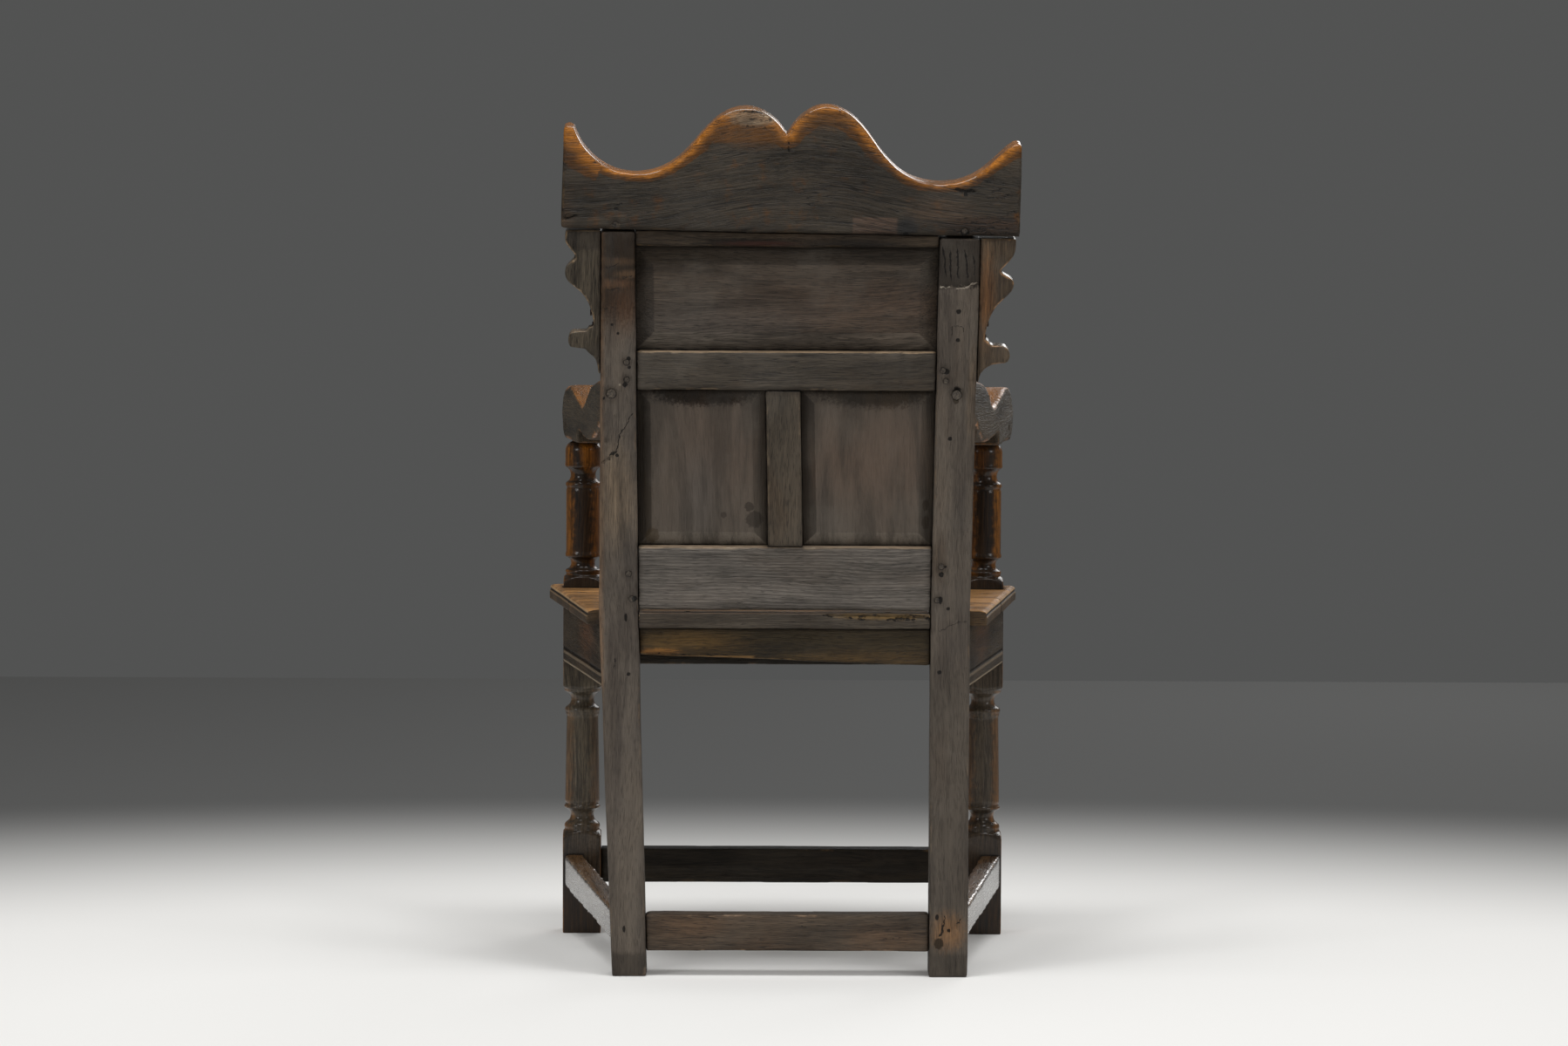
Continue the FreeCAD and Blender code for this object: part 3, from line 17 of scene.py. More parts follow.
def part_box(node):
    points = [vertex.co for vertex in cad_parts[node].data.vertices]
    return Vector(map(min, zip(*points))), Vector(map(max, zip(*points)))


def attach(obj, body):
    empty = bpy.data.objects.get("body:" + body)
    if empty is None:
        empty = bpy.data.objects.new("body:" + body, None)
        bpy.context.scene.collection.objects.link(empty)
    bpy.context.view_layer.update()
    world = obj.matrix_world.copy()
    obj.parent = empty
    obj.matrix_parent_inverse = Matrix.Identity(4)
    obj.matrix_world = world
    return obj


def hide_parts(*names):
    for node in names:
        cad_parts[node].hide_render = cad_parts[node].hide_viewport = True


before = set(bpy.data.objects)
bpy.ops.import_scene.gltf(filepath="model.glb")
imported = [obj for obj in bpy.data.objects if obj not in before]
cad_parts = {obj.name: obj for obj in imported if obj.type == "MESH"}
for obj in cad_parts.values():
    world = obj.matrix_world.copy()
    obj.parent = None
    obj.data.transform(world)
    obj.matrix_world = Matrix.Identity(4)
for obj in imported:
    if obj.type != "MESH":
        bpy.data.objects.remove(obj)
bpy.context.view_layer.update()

# %% [markdown]
# The back leans 7 degrees from the seat upwards. Marks on the back, such as cracks and wormholes,
# are easiest to place in the plane of the back: across it, up it, and out of it. The same frame,
# read the other way round, tells how the grain lies in a board of the back. Legs, rails and the
# seat have upright faces, where a place across and a height are enough.

# %% The leaning frame of the back
SEAT_TOP = 0.474
REAR_FACE = 0.1948
RAKE = math.radians(7)


def on_back(across, up, out=0.0):
    """The point of the back's rear face at a place across and up from the seat."""
    return Vector((
        across,
        REAR_FACE + out * math.cos(RAKE) + up * math.sin(RAKE),
        SEAT_TOP - out * math.sin(RAKE) + up * math.cos(RAKE),
    ))


def on_panel(across, up):
    """A point on a panel's face, which lies a little inside the back."""
    return on_back(across, up, -0.01)


def upright_face(deep):
    """A function for the points of an upright face, by place across and height."""
    def on_face(across, high):
        return Vector((across, deep, high))
    return on_face


on_leg = upright_face(REAR_FACE)
on_rail = upright_face(0.187)
on_stretcher = upright_face(0.189)


def up_and_out(co):
    """How far a point is up the back and out of it. Below the seat the legs stand upright."""
    high = co.z - SEAT_TOP
    deep = co.y - REAR_FACE
    if high < 0:
        return high, deep
    return (high * math.cos(RAKE) + deep * math.sin(RAKE),
            deep * math.cos(RAKE) - high * math.sin(RAKE))


print("the hump of the crest is at", on_back(0, 0.66))

# %% [markdown]
# ## Camera
#
# The picture is taken from about 7 m behind the chair with a long lens, from slightly above its
# middle and turned a little to one side. A camera looks along its own -Z, so its three axes are
# written as the columns of a matrix.

# %% Place the camera
EYE = Vector((0.100, 7.496, 1.0966))
PITCH = math.radians(3.96)
YAW = math.radians(-0.745)
ROLL = math.radians(0.30)

forward = Vector((math.sin(YAW) * math.cos(PITCH), -math.cos(YAW) * math.cos(PITCH),
                  -math.sin(PITCH)))
level = forward.cross(Vector((0, 0, 1))).normalized()
upright = level.cross(forward)
right = level * math.cos(ROLL) + upright * math.sin(ROLL)
up = upright * math.cos(ROLL) - level * math.sin(ROLL)

camera_data = bpy.data.cameras.new("camera")
camera_data.sensor_width = 36
camera_data.lens = 130.07
camera_data.clip_end = 100
camera = bpy.data.objects.new("camera", camera_data)
bpy.context.scene.collection.objects.link(camera)
axes = Matrix((right, up, -forward)).transposed()
camera.matrix_world = Matrix.Translation(EYE) @ axes.to_4x4()
bpy.context.scene.camera = camera
print("camera looks along", forward)

# %% [markdown]
# ## Old wood from new wood
#
# Fresh from the saw, every arris is sharp and every face is flat. Three hundred years of hands,
# brooms and dust round the arrises unevenly and leave the faces slightly wavy. A bevel would
# round every edge alike, so each piece is remeshed to small even cells instead, and then relaxed:
# smoothing leaves flat faces alone and eats away arrises.
#
# Where two pieces meet nothing can rub, so those points are held. The distance to the next piece
# is found with a search tree for each CAD node.

# %% Search trees for the neighbours of a piece
REACH = 0.02
searches = {}
for title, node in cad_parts.items():
    whole = bmesh.new()
    whole.from_mesh(node.data)
    searches[title] = BVHTree.FromBMesh(whole)
    whole.free()
print("search trees for", len(searches), "nodes")


def gap_finder(node):
    """A function for the distance from a point to the nearest other piece, up to REACH."""
    low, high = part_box(node)
    near = []
    for other, search in searches.items():
        start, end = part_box(other)
        if other != node and all(start[i] < high[i] + REACH and end[i] > low[i] - REACH
                                 for i in range(3)):
            near.append((start, end, search))

    def gap(co):
        best = REACH
        for start, end, search in near:
            if all(start[i] - best < co[i] < end[i] + best for i in range(3)):
                hit = search.find_nearest(co, best)
                if hit[0] is not None:
                    best = hit[3]
        return best

    return gap


# %% [markdown]
# The helper below keeps what it learns about each point in attributes, and the wood reads them:
# rub is where an arris was worn away, grime where dust fills a hollow, nook how near the next
# piece is, faces_up and faces_left how far a face looks up or to the left, and board the place
# along, across and through the board, which is how the grain lies.

# %% Remesh and relax
CELL = 0.0024
HELD = 0.0012
FREE_TO_SWELL = 0.004
RUB_GAIN = 1.6
WORN_SCALE = 14
WORN_ABOVE = 0.05
SWELL_SCALE = 9
RIPPLE_SCALE = 31
seasoned = {}


def remeshed(node, cell):
    """A closed copy of a CAD node in even cells, as a bmesh."""
    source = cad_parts[node]
    whole = bmesh.new()
    whole.from_mesh(source.data)
    bmesh.ops.remove_doubles(whole, verts=whole.verts, dist=1e-6)
    mesh = bpy.data.meshes.new(node + "_aged")
    whole.to_mesh(mesh)
    whole.free()
    piece = bpy.data.objects.new(node + "_aged", mesh)
    bpy.context.scene.collection.objects.link(piece)
    remesh = piece.modifiers.new("cells", "REMESH")
    remesh.mode = "VOXEL"
    remesh.voxel_size = cell
    bpy.context.view_layer.update()
    shape = bpy.data.meshes.new_from_object(
        piece.evaluated_get(bpy.context.evaluated_depsgraph_get()))
    piece.modifiers.clear()
    cells = bmesh.new()
    cells.from_mesh(shape)
    bpy.data.meshes.remove(shape)
    return piece, cells


def relax(cells, rounds, verts):
    """Smooth the points a few times, all alike in the three directions."""
    for _ in range(rounds):
        bmesh.ops.smooth_vert(cells, verts=verts, factor=0.5, use_axis_x=True,
                              use_axis_y=True, use_axis_z=True)


# %% Age a piece
def age(node, lay, *touch, cell=CELL, rounds=2, worn=5, wave=0.0006, seed=0.0, turned=False):
    """Replace a node by an aged copy. rounds relax all arrises, and worn adds to some of them."""
    piece, cells = remeshed(node, cell)
    if turned:
        for vert in cells.verts:
            vert.co = searches[node].find_nearest(vert.co)[0]
    gap = gap_finder(node)
    gaps = [gap(vert.co) for vert in cells.verts]
    before = [vert.co.copy() for vert in cells.verts]
    shift = Vector((seed, seed * 0.7, seed * 1.3))
    free = [vert for vert, far in zip(cells.verts, gaps) if far > HELD]
    relax(cells, rounds, free)
    relax(cells, worn, [vert for vert in free
                        if noise.noise(vert.co * WORN_SCALE + shift) > WORN_ABOVE])
    cells.normal_update()
    layers = cells.verts.layers
    rub, grime, nook, faces_up, faces_left = [
        layers.float.new(key) for key in ("rub", "grime", "nook", "faces_up", "faces_left")]
    board = layers.float_vector.new("board")
    for vert, old, far in zip(cells.verts, before, gaps):
        moved = (vert.co - old).dot(vert.normal) / cell
        vert[rub] = min(max(-moved * RUB_GAIN, 0.0), 1.0)
        vert[grime] = min(max(moved * RUB_GAIN, 0.0), 1.0)
        vert[nook] = 1 - far / REACH
        vert[faces_up] = vert.normal.z
        vert[faces_left] = vert.normal.x
        vert[board] = Vector(lay(vert.co)) + shift
    for vert, far in zip(cells.verts, gaps):
        swell = (noise.noise(vert.co * SWELL_SCALE + shift)
                 + 0.35 * noise.noise(vert.co * RIPPLE_SCALE - shift))
        vert.co += vert.normal * swell * wave * min(far / FREE_TO_SWELL, 1.0)
    for change in touch:
        change(cells)
    cells.to_mesh(piece.data)
    cells.free()
    piece.data.shade_smooth()
    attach(piece, "root")
    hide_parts(node)
    seasoned[node] = piece
    print(f"{node}: {len(piece.data.polygons)} faces")


# %% [markdown]
# ## The pieces
#
# A stile's grain runs up the back and then down the leg, a rail's runs across, and the crest was
# sawn from a board whose grain arches a little towards the middle.

# %% How the grain lies
def upward(co):
    """Grain that runs up a stile, the muntin, a panel or a bracket."""
    along, through = up_and_out(co)
    return along, co.x, through


def sideways(co):
    """Grain that runs across the chair in a board of the back."""
    across, through = up_and_out(co)
    return co.x, across, through


def arched(co):
    """Grain of the crest board, which rises towards the middle."""
    across, through = up_and_out(co)
    return co.x, across - 0.035 * math.exp(-(co.x / 0.16) ** 2), through


def flat(co):
    """Grain that runs across the chair in a rail, a stretcher or the seat."""
    return co.x, co.z, co.y


def frontways(co):
    """Grain that runs from front to back, splayed like the sides of the seat."""
    splay = 0.16 if co.x > 0 else -0.16
    return co.y, co.x + splay * co.y, co.z


def post(co):
    """Grain that runs up a turned post."""
    return co.z, co.x, co.y


# %% [markdown]
# A deep flaw needs a real hollow, because a dark patch alone stays flat when light crosses it.
# The first helper pushes the points near a mark into the wood. The second one cuts the line that
# is scratched along the ends of the seat boards, as deep as a point is near its height.

# %% Hollows
INTO_BACK = Vector((0, -math.cos(RAKE), math.sin(RAKE)))
INTO_LEG = Vector((0, -1, 0))
SEAT_LINE = SEAT_TOP - 0.0065


def hollows(*marks):
    """A touch for age: each mark has a start, an end, a radius, a depth and a direction."""
    def touch(cells):
        for start, end, radius, depth, inward in marks:
            run = end - start
            for vert in cells.verts:
                away = vert.co - start
                if away.length > run.length + radius * 2:
                    continue
                if vert.normal.dot(inward) > -0.3:
                    continue
                share = min(max(away.dot(run) / max(run.length_squared, 1e-9), 0.0), 1.0)
                ragged = 1 + 0.5 * noise.noise(vert.co * 160)
                off = (away - run * share).length / (radius * ragged)
                if off < 1:
                    vert.co += inward * depth * (1 - off * off) ** 2
    return touch


def scratched(height, half_width, depth):
    """A touch for age that scratches a level line into the sides of a board."""
    def touch(cells):
        for vert in cells.verts:
            off = abs(vert.co.z - height) / half_width
            if off < 1 and abs(vert.normal.x) > 0.6 and abs(vert.co.x) > 0.24:
                vert.co -= vert.normal * depth * (1 - off * off)
    return touch


# %% Stiles with the back legs
age("rear_leg_left", upward, hollows(
    (on_back(0.2341, 0.2255), on_back(0.2341, 0.2250), 0.005, 0.003, INTO_BACK),
    (on_back(0.238, 0.197), on_back(0.228, 0.205), 0.003, 0.002, INTO_BACK),
    (on_leg(0.2090, 0.470), on_leg(0.2093, 0.462), 0.003, 0.0015, INTO_LEG),
), cell=0.0021, seed=1.1)
age("rear_leg_right", upward, hollows(
    (on_back(-0.2157, 0.293), on_back(-0.2147, 0.282), 0.0055, 0.004, INTO_BACK),
    (on_back(-0.193, 0.424), on_back(-0.243, 0.431), 0.0035, 0.0013, INTO_BACK),
    (on_back(-0.2345, 0.307), on_back(-0.240, 0.235), 0.004, 0.0015, INTO_BACK),
    (on_leg(-0.222, 0.066), on_leg(-0.212, 0.060), 0.008, 0.0018, INTO_LEG),
), cell=0.0021, seed=4.2)

# %% Rails, muntin and panels of the back
for title, seed in (("lower_back_rail", 7.3), ("middle_back_rail", 10.4), ("top_back_rail", 13.5)):
    age(title, sideways, seed=seed)
age("back_muntin", upward, cell=0.002, seed=16.6)
for title, lay, seed in (("upper_back_panel", sideways, 19.7),
                         ("lower_back_panel_left", upward, 22.8),
                         ("lower_back_panel_right", upward, 25.9)):
    age(title, lay, cell=0.0017, rounds=1, worn=1, seed=seed)

# %% Rails and stretchers under the seat
age("rear_seat_rail", flat, hollows(
    (on_rail(0.192, 0.4190), on_rail(0.145, 0.4186), 0.0026, 0.0025, INTO_LEG),
), cell=0.002, seed=28.1)
for title, lay, seed in (("front_seat_rail", flat, 31.2), ("rear_stretcher", flat, 34.3),
                         ("front_stretcher", flat, 37.4), ("side_stretcher_left", frontways, 40.5),
                         ("side_stretcher_right", frontways, 43.6)):
    age(title, lay, seed=seed)
for title, seed in (("side_seat_rail_left", 46.7), ("side_seat_rail_right", 49.8)):
    age(title, frontways, cell=0.0018, rounds=1, worn=2, seed=seed)

# %% [markdown]
# The seat, the arms and the crest rail are what hands and clothes reach, so their arrises are
# relaxed longer. The turned posts have thin beads and fillets: finer cells keep them, and a few
# rounds take off only the tool's edge. Cells ripple a little on a round surface, and wax would
# show that as sparks, so the points of a post are first drawn back onto the turned shape.

# %% Seat, arms, crest, brackets and posts
SEAT_WEAR = dict(cell=0.002, rounds=1, worn=2, wave=0.0008)
scratch = scratched(SEAT_LINE, 0.0026, 0.0016)
age("seat_board_front", flat, scratch, **SEAT_WEAR, seed=52.9)
age("seat_board_rear", flat, scratch, hollows(
    (on_leg(-0.050, 0.4715), on_leg(-0.180, 0.4690), 0.0028, 0.0022, INTO_LEG),
), **SEAT_WEAR, seed=56.1)
for title, seed in (("arm_left", 59.2), ("arm_right", 62.3)):
    age(title, frontways, rounds=7, worn=12, wave=0.0012, seed=seed)
age("crest_rail", arched, hollows(
    (on_back(0.296, 0.513), on_back(0.272, 0.517), 0.003, 0.0025, INTO_BACK),
    (on_back(0.0030, 0.618), on_back(0.0022, 0.600), 0.0026, 0.003, INTO_BACK),
    (on_back(-0.210, 0.5531), on_back(-0.236, 0.5510), 0.003, 0.0022, INTO_BACK),
    (on_back(-0.224, 0.4975), on_back(-0.223, 0.4965), 0.0045, 0.002, INTO_BACK),
), rounds=4, worn=10, wave=0.0010, seed=65.4)
for title, seed in (("ear_bracket_left", 68.5), ("ear_bracket_right", 71.6)):
    age(title, upward, cell=0.0018, wave=0.0008, seed=seed)
for title, seed in (("front_leg_left", 74.7), ("front_leg_right", 77.8)):
    age(title, post, cell=0.0016, worn=2, wave=0.0003, seed=seed, turned=True)
faces = sum(len(piece.data.polygons) for piece in seasoned.values())
print("aged pieces", len(seasoned), "with", faces, "faces")

# %% [markdown]
# ## Oak
#
# Oak shows three things at three sizes: broad bands of tone, fibres a few millimetres wide that
# run with the board, and open pores that look like short dark ticks. Fibres and bands are noise
# that is stretched along the grain, and the year rings are a wave across it. The recipe is made
# once, as a node group that reads the board attribute.

# %% Small helpers for node trees
def feed(tree, socket, source):
    """Link a socket to another socket, or set its own value."""
    if isinstance(source, bpy.types.NodeSocket):
        tree.links.new(source, socket)
    else:
        socket.default_value = source


def calc(tree, operation, *terms):
    """One Math node, and its result."""
    node = tree.nodes.new("ShaderNodeMath")
    node.operation = operation
    for socket, term in zip(node.inputs, terms):
        feed(tree, socket, term)
    return node.outputs[0]


def plus(tree, first, second):
    """A sum."""
    return calc(tree, "ADD", first, second)


def minus(tree, first, second):
    """A difference."""
    return calc(tree, "SUBTRACT", first, second)


def times(tree, first, second):
    """A product."""
    return calc(tree, "MULTIPLY", first, second)


def vector_calc(tree, operation, *terms, scale=None, result="Vector"):
    """One Vector Math node, and its result."""
    node = tree.nodes.new("ShaderNodeVectorMath")
    node.operation = operation
    for socket, term in zip(node.inputs, terms):
        feed(tree, socket, term)
    if scale is not None:
        feed(tree, node.inputs["Scale"], scale)
    return node.outputs[result]


def axis_of(tree, vector, axis):
    """One of a vector's three numbers."""
    node = tree.nodes.new("ShaderNodeSeparateXYZ")
    feed(tree, node.inputs[0], vector)
    return node.outputs[axis]


def fade(tree, value, low, high, start=0.0, end=1.0, kind="SMOOTHSTEP"):
    """A step of a value from start to end, between low and high."""
    node = tree.nodes.new("ShaderNodeMapRange")
    node.interpolation_type = kind
    for socket, term in zip(node.inputs, (value, low, high, start, end)):
        feed(tree, socket, term)
    return node.outputs[0]


def mix(tree, share, first, second):
    """Two colours mixed by a share."""
    node = tree.nodes.new("ShaderNodeMix")
    node.data_type = "RGBA"
    feed(tree, node.inputs["Factor"], share)
    feed(tree, node.inputs["A"], first)
    feed(tree, node.inputs["B"], second)
    return node.outputs["Result"]


def cloud(tree, vector, scale, detail=2.0, rough=0.5):
    """Noise at a scale. A scale of three numbers stretches it."""
    node = tree.nodes.new("ShaderNodeTexNoise")
    if isinstance(scale, tuple):
        vector = vector_calc(tree, "MULTIPLY", vector, scale)
        scale = 1.0
    feed(tree, node.inputs["Vector"], vector)
    node.inputs["Scale"].default_value = scale
    node.inputs["Detail"].default_value = detail
    node.inputs["Roughness"].default_value = rough
    return node.outputs["Fac"]


def attribute(tree, key, output="Fac"):
    """An attribute that the ageing left on the piece."""
    node = tree.nodes.new("ShaderNodeAttribute")
    node.attribute_name = key
    return node.outputs[output]


def recipe(name, inputs, outputs):
    """An empty node group with named sockets, with its inner ends."""
    tree = bpy.data.node_groups.new(name, "ShaderNodeTree")
    for title, kind, value in inputs:
        socket = tree.interface.new_socket(title, in_out="INPUT", socket_type="NodeSocket" + kind)
        if value is not None:
            socket.default_value = value
    for title, kind in outputs:
        tree.interface.new_socket(title, in_out="OUTPUT", socket_type="NodeSocket" + kind)
    given = tree.nodes.new("NodeGroupInput").outputs
    made = tree.nodes.new("NodeGroupOutput").inputs
    return tree, given, made


def use(tree, source, **values):
    """Place a node group, and set or link its inputs."""
    node = tree.nodes.new("ShaderNodeGroup")
    node.node_tree = source
    for title, value in values.items():
        feed(tree, node.inputs[title], value)
    return node.outputs


def paint(red, green, blue):
    """A colour from its three screen values, 0 to 255."""
    return tuple(((part / 255 + 0.055) / 1.055) ** 2.4 for part in (red, green, blue)) + (1.0,)


# %% Oak grain
grain, given, made = recipe(
    "oak_grain",
    [("Board", "Vector", None), ("Rings", "Float", 110.0), ("Flame", "Float", 14.0),
     ("Figure", "Float", 0.4), ("Checks", "Float", 0.6)],
    [("Tone", "Float"), ("Fibre", "Float"), ("Pores", "Float"), ("Height", "Float")])
drift = cloud(grain, given["Board"], (2.2, 7, 7))
sway = vector_calc(grain, "SCALE", (0, 0.05, 0.05), scale=minus(grain, drift, 0.5))
bent = vector_calc(grain, "ADD", given["Board"], sway)
tone = fade(grain, cloud(grain, bent, (4.5, 34, 34), 4.0, 0.62), 0.36, 0.64)
broad = fade(grain, cloud(grain, bent, (16, 330, 330), 3.0, 0.68), 0.38, 0.62)
fine = fade(grain, cloud(grain, bent, (45, 1000, 1000), 1.0), 0.38, 0.62)
turns = times(grain, axis_of(grain, bent, "Y"), times(grain, given["Rings"], 6.28))
flame = times(grain, cloud(grain, bent, (1.6, 26, 26), 1.0), given["Flame"])
ring = fade(grain, calc(grain, "SINE", plus(grain, turns, flame)), 0.2, 1.0)
ring = times(grain, ring, given["Figure"])
seam = calc(grain, "ABSOLUTE", minus(grain, cloud(grain, bent, (7, 170, 170), 1.0), 0.5))
check = fade(grain, seam, 0.004, 0.024, 1.0, 0.0)
sparse = fade(grain, cloud(grain, bent, (9, 40, 40), 1.0), 0.46, 0.62)
check = times(grain, times(grain, check, sparse), given["Checks"])
pores = fade(grain, cloud(grain, bent, (80, 1000, 1000), 0.0), 0.62, 0.72)
fibre = plus(grain, times(grain, broad, 0.6), times(grain, fine, 0.4))
fibre = times(grain, fibre, minus(grain, 1.0, ring))
height = minus(grain, times(grain, fibre, 0.7), check)
height = minus(grain, height, times(grain, pores, 0.4))
dark = calc(grain, "MAXIMUM", check, times(grain, pores, 0.6))
for title, socket in (("Tone", tone), ("Fibre", fibre), ("Pores", dark), ("Height", height)):
    grain.links.new(socket, made[title])
print("oak grain has", len(grain.nodes), "nodes")

# %% [markdown]
# Marks are placed one by one: a wormhole or a stain is a round or stretched spot, and a split is a
# line between two points that wavers a little. Both groups turn a distance into a mask.

# %% Spots
spot, given, made = recipe(
    "spot",
    [("Vector", "Vector", None), ("Centre", "Vector", None), ("Stretch", "Vector", (1, 1, 1)),
     ("Radius", "Float", 0.002), ("Ragged", "Float", 0.5), ("Soft", "Float", 0.15)],
    [("Mask", "Float")])
away = vector_calc(spot, "SUBTRACT", given["Vector"], given["Centre"])
away = vector_calc(spot, "MULTIPLY", away, given["Stretch"])
reach = calc(spot, "DIVIDE", vector_calc(spot, "LENGTH", away, result="Value"), given["Radius"])
reach = plus(spot, reach, minus(spot, given["Ragged"], 0.5))
inner = minus(spot, 1.0, given["Soft"])
outer = plus(spot, 1.0, given["Soft"])
spot.links.new(fade(spot, reach, inner, outer, 1.0, 0.0), made["Mask"])

# %% Splits
line, given, made = recipe(
    "split",
    [("Vector", "Vector", None), ("Start", "Vector", None), ("End", "Vector", None),
     ("Width", "Float", 0.001), ("Waver", "Float", 0.0), ("Ragged", "Float", 0.5)],
    [("Mask", "Float")])
shift = vector_calc(line, "SCALE", (0.6, 0.2, 1), scale=given["Waver"])
wavy = vector_calc(line, "ADD", given["Vector"], shift)
run = vector_calc(line, "SUBTRACT", given["End"], given["Start"])
gone = vector_calc(line, "SUBTRACT", wavy, given["Start"])
share = calc(line, "DIVIDE", vector_calc(line, "DOT_PRODUCT", gone, run, result="Value"),
             vector_calc(line, "DOT_PRODUCT", run, run, result="Value"))
share = fade(line, share, 0.0, 1.0, kind="LINEAR")
nearest = vector_calc(line, "SCALE", run, scale=share)
off = vector_calc(line, "DISTANCE", gone, nearest, result="Value")
ends = times(line, minus(line, 1.0, share), share)
width = times(line, given["Width"], fade(line, ends, 0.0, 0.12, 0.35, 1.0))
width = times(line, width, fade(line, given["Ragged"], 0.3, 0.7, 0.5, 1.3))
line.links.new(fade(line, calc(line, "DIVIDE", off, width), 0.5, 1.2, 1.0, 0.0), made["Mask"])
print("spot and split recipes made")

# %% [markdown]
# Handling is the third shared effect. Where the rub attribute is high the dark skin is worn to
# warmer wood. Where grime is high, dust and wax have gathered. Near the next piece the colour
# darkens as painted shade, and a dark line runs right in the joint. Noise breaks all of this up,
# because no edge of an old chair is worn evenly.

# %% Handling
handling, given, made = recipe(
    "handling",
    [("Place", "Vector", None), ("Colour", "Color", None), ("Bare", "Color", (0.2, 0.12, 0.06, 1)),
     ("Rub", "Float", 0.0), ("Grime", "Float", 0.0), ("Nook", "Float", 0.0),
     ("Wear", "Float", 0.6), ("Dust", "Float", 0.3)],
    [("Colour", "Color"), ("Shine", "Float")])
patchy = fade(handling, cloud(handling, given["Place"], 42.0, 4.0, 0.6), 0.38, 0.6)
bared = times(handling, times(handling, given["Rub"], patchy), given["Wear"])
bared = fade(handling, bared, 0.08, 0.7)
uneven = fade(handling, cloud(handling, given["Place"], 60.0, 3.0, 0.6), 0.3, 0.7, 0.5, 1.1)
# painted shade: the colour darkens near the next piece, where shade falls
painted_nook_shade = times(handling, fade(handling, given["Nook"], 0.5, 1.0, 0.0, 0.5), uneven)
joint = times(handling, fade(handling, given["Nook"], 0.89, 0.98, 0.0, 0.95), uneven)
dusty = fade(handling, cloud(handling, given["Place"], 12.0, 5.0, 0.65), 0.44, 0.7)
dusty = times(handling, dusty, given["Dust"])
dirty = times(handling, given["Grime"], 0.6)
colour = mix(handling, bared, given["Colour"], given["Bare"])
# the third tint is the painted shade near the next piece; the others are dust, grime and the dark
# joint
for amount, tint in ((dusty, (104, 98, 90)), (dirty, (34, 27, 20)), (painted_nook_shade, (36, 27, 18)),
                     (joint, (12, 9, 7))):
    colour = mix(handling, amount, colour, paint(*tint))
handling.links.new(colour, made["Colour"])
handling.links.new(minus(handling, bared, dusty), made["Shine"])
print("handling recipe made")


# %% [markdown]
# Each mark is a small function that draws its mask into a material. hole and split also sink into
# the bump, and the others only tint. A band lies between two heights and has a ragged border.
# Most marks come in groups on one face, so three more helpers make them from rows.

# %% Marks
SOOT = (14, 10, 7)


def hole(at, radius=0.002, stretch=(1, 1, 1), depth=2.0, tint=SOOT, strength=0.92):
    """A wormhole, a nail hole or a peg's shadow."""
    def draw(tree, place, ragged, waver):
        return use(tree, spot, Vector=place, Centre=at, Radius=radius, Stretch=stretch,
                   Ragged=ragged)["Mask"]
    return draw, paint(*tint), strength, depth


def split(start, end, width=0.001, tint=SOOT, strength=0.9, depth=2.0):
    """A split or a scratch."""
    def draw(tree, place, ragged, waver):
        return use(tree, line, Vector=place, Start=start, End=end, Width=width,
                   Waver=waver, Ragged=ragged)["Mask"]
    return draw, paint(*tint), strength, depth


def stain(at, radius, tint, strength=0.7, stretch=(1, 1, 1), soft=0.5):
    """A patch of another colour."""
    def draw(tree, place, ragged, waver):
        return use(tree, spot, Vector=place, Centre=at, Radius=radius, Stretch=stretch,
                   Ragged=ragged, Soft=soft)["Mask"]
    return draw, paint(*tint), strength, 0.0


def holes(*rows, face=on_back):
    """Round holes on one face. A row has a place and a radius."""
    return [hole(face(*row[:2]), row[2]) for row in rows]


def splits(*rows, face=on_back, **look):
    """Splits on one face. A row has the places of both ends and a width."""
    return [split(face(*row[:2]), face(*row[2:4]), row[4], **look) for row in rows]


def stains(*rows, face=on_back, through=0.3):
    """Stains on one face. A row has a place, a radius, a tint, a strength, the stretches across
    and up, and how soft its border is."""
    return [stain(face(*row[:2]), *row[2:5], (row[5], through, row[6]), row[7]) for row in rows]


# %% Marks that follow a direction
def band(low, high, tint, strength=0.7, axis="Z", torn=0.02):
    """A tint that grows from low to high along an axis, with a ragged border."""
    def draw(tree, place, ragged, waver):
        rough_edge = times(tree, minus(tree, ragged, 0.5), torn)
        return fade(tree, plus(tree, axis_of(tree, place, axis), rough_edge), low, high)
    return draw, paint(*tint), strength, 0.0


def slope(key, low, high, tint=SOOT, strength=0.7, torn=0.12, scale=110.0):
    """A tint for where an attribute is high, such as the faces that look up."""
    def draw(tree, place, ragged, waver):
        blurred = minus(tree, cloud(tree, place, scale, 3.0, 0.6), 0.5)
        return fade(tree, plus(tree, attribute(tree, key), times(tree, blurred, torn)), low, high)
    return draw, paint(*tint), strength, 0.0


def side_line(height, half_width, tint, strength=0.8, depth=1.0):
    """A level line on the faces that look sideways, for a scratched moulding. A dark line is
    painted shade in the groove, and a pale one is a painted highlight on an arris.
    """
    def draw(tree, place, ragged, waver):
        off = calc(tree, "ABSOLUTE", minus(tree, axis_of(tree, place, "Z"), height))
        thin = fade(tree, calc(tree, "DIVIDE", off, half_width), 0.7, 1.3, 1.0, 0.0)
        sideways_face = calc(tree, "ABSOLUTE", attribute(tree, "faces_left"))
        thin = times(tree, thin, fade(tree, sideways_face, 0.5, 0.7))
        return times(tree, thin, fade(tree, ragged, 0.3, 0.6, 0.6, 1.0))
    return draw, paint(*tint), strength, depth


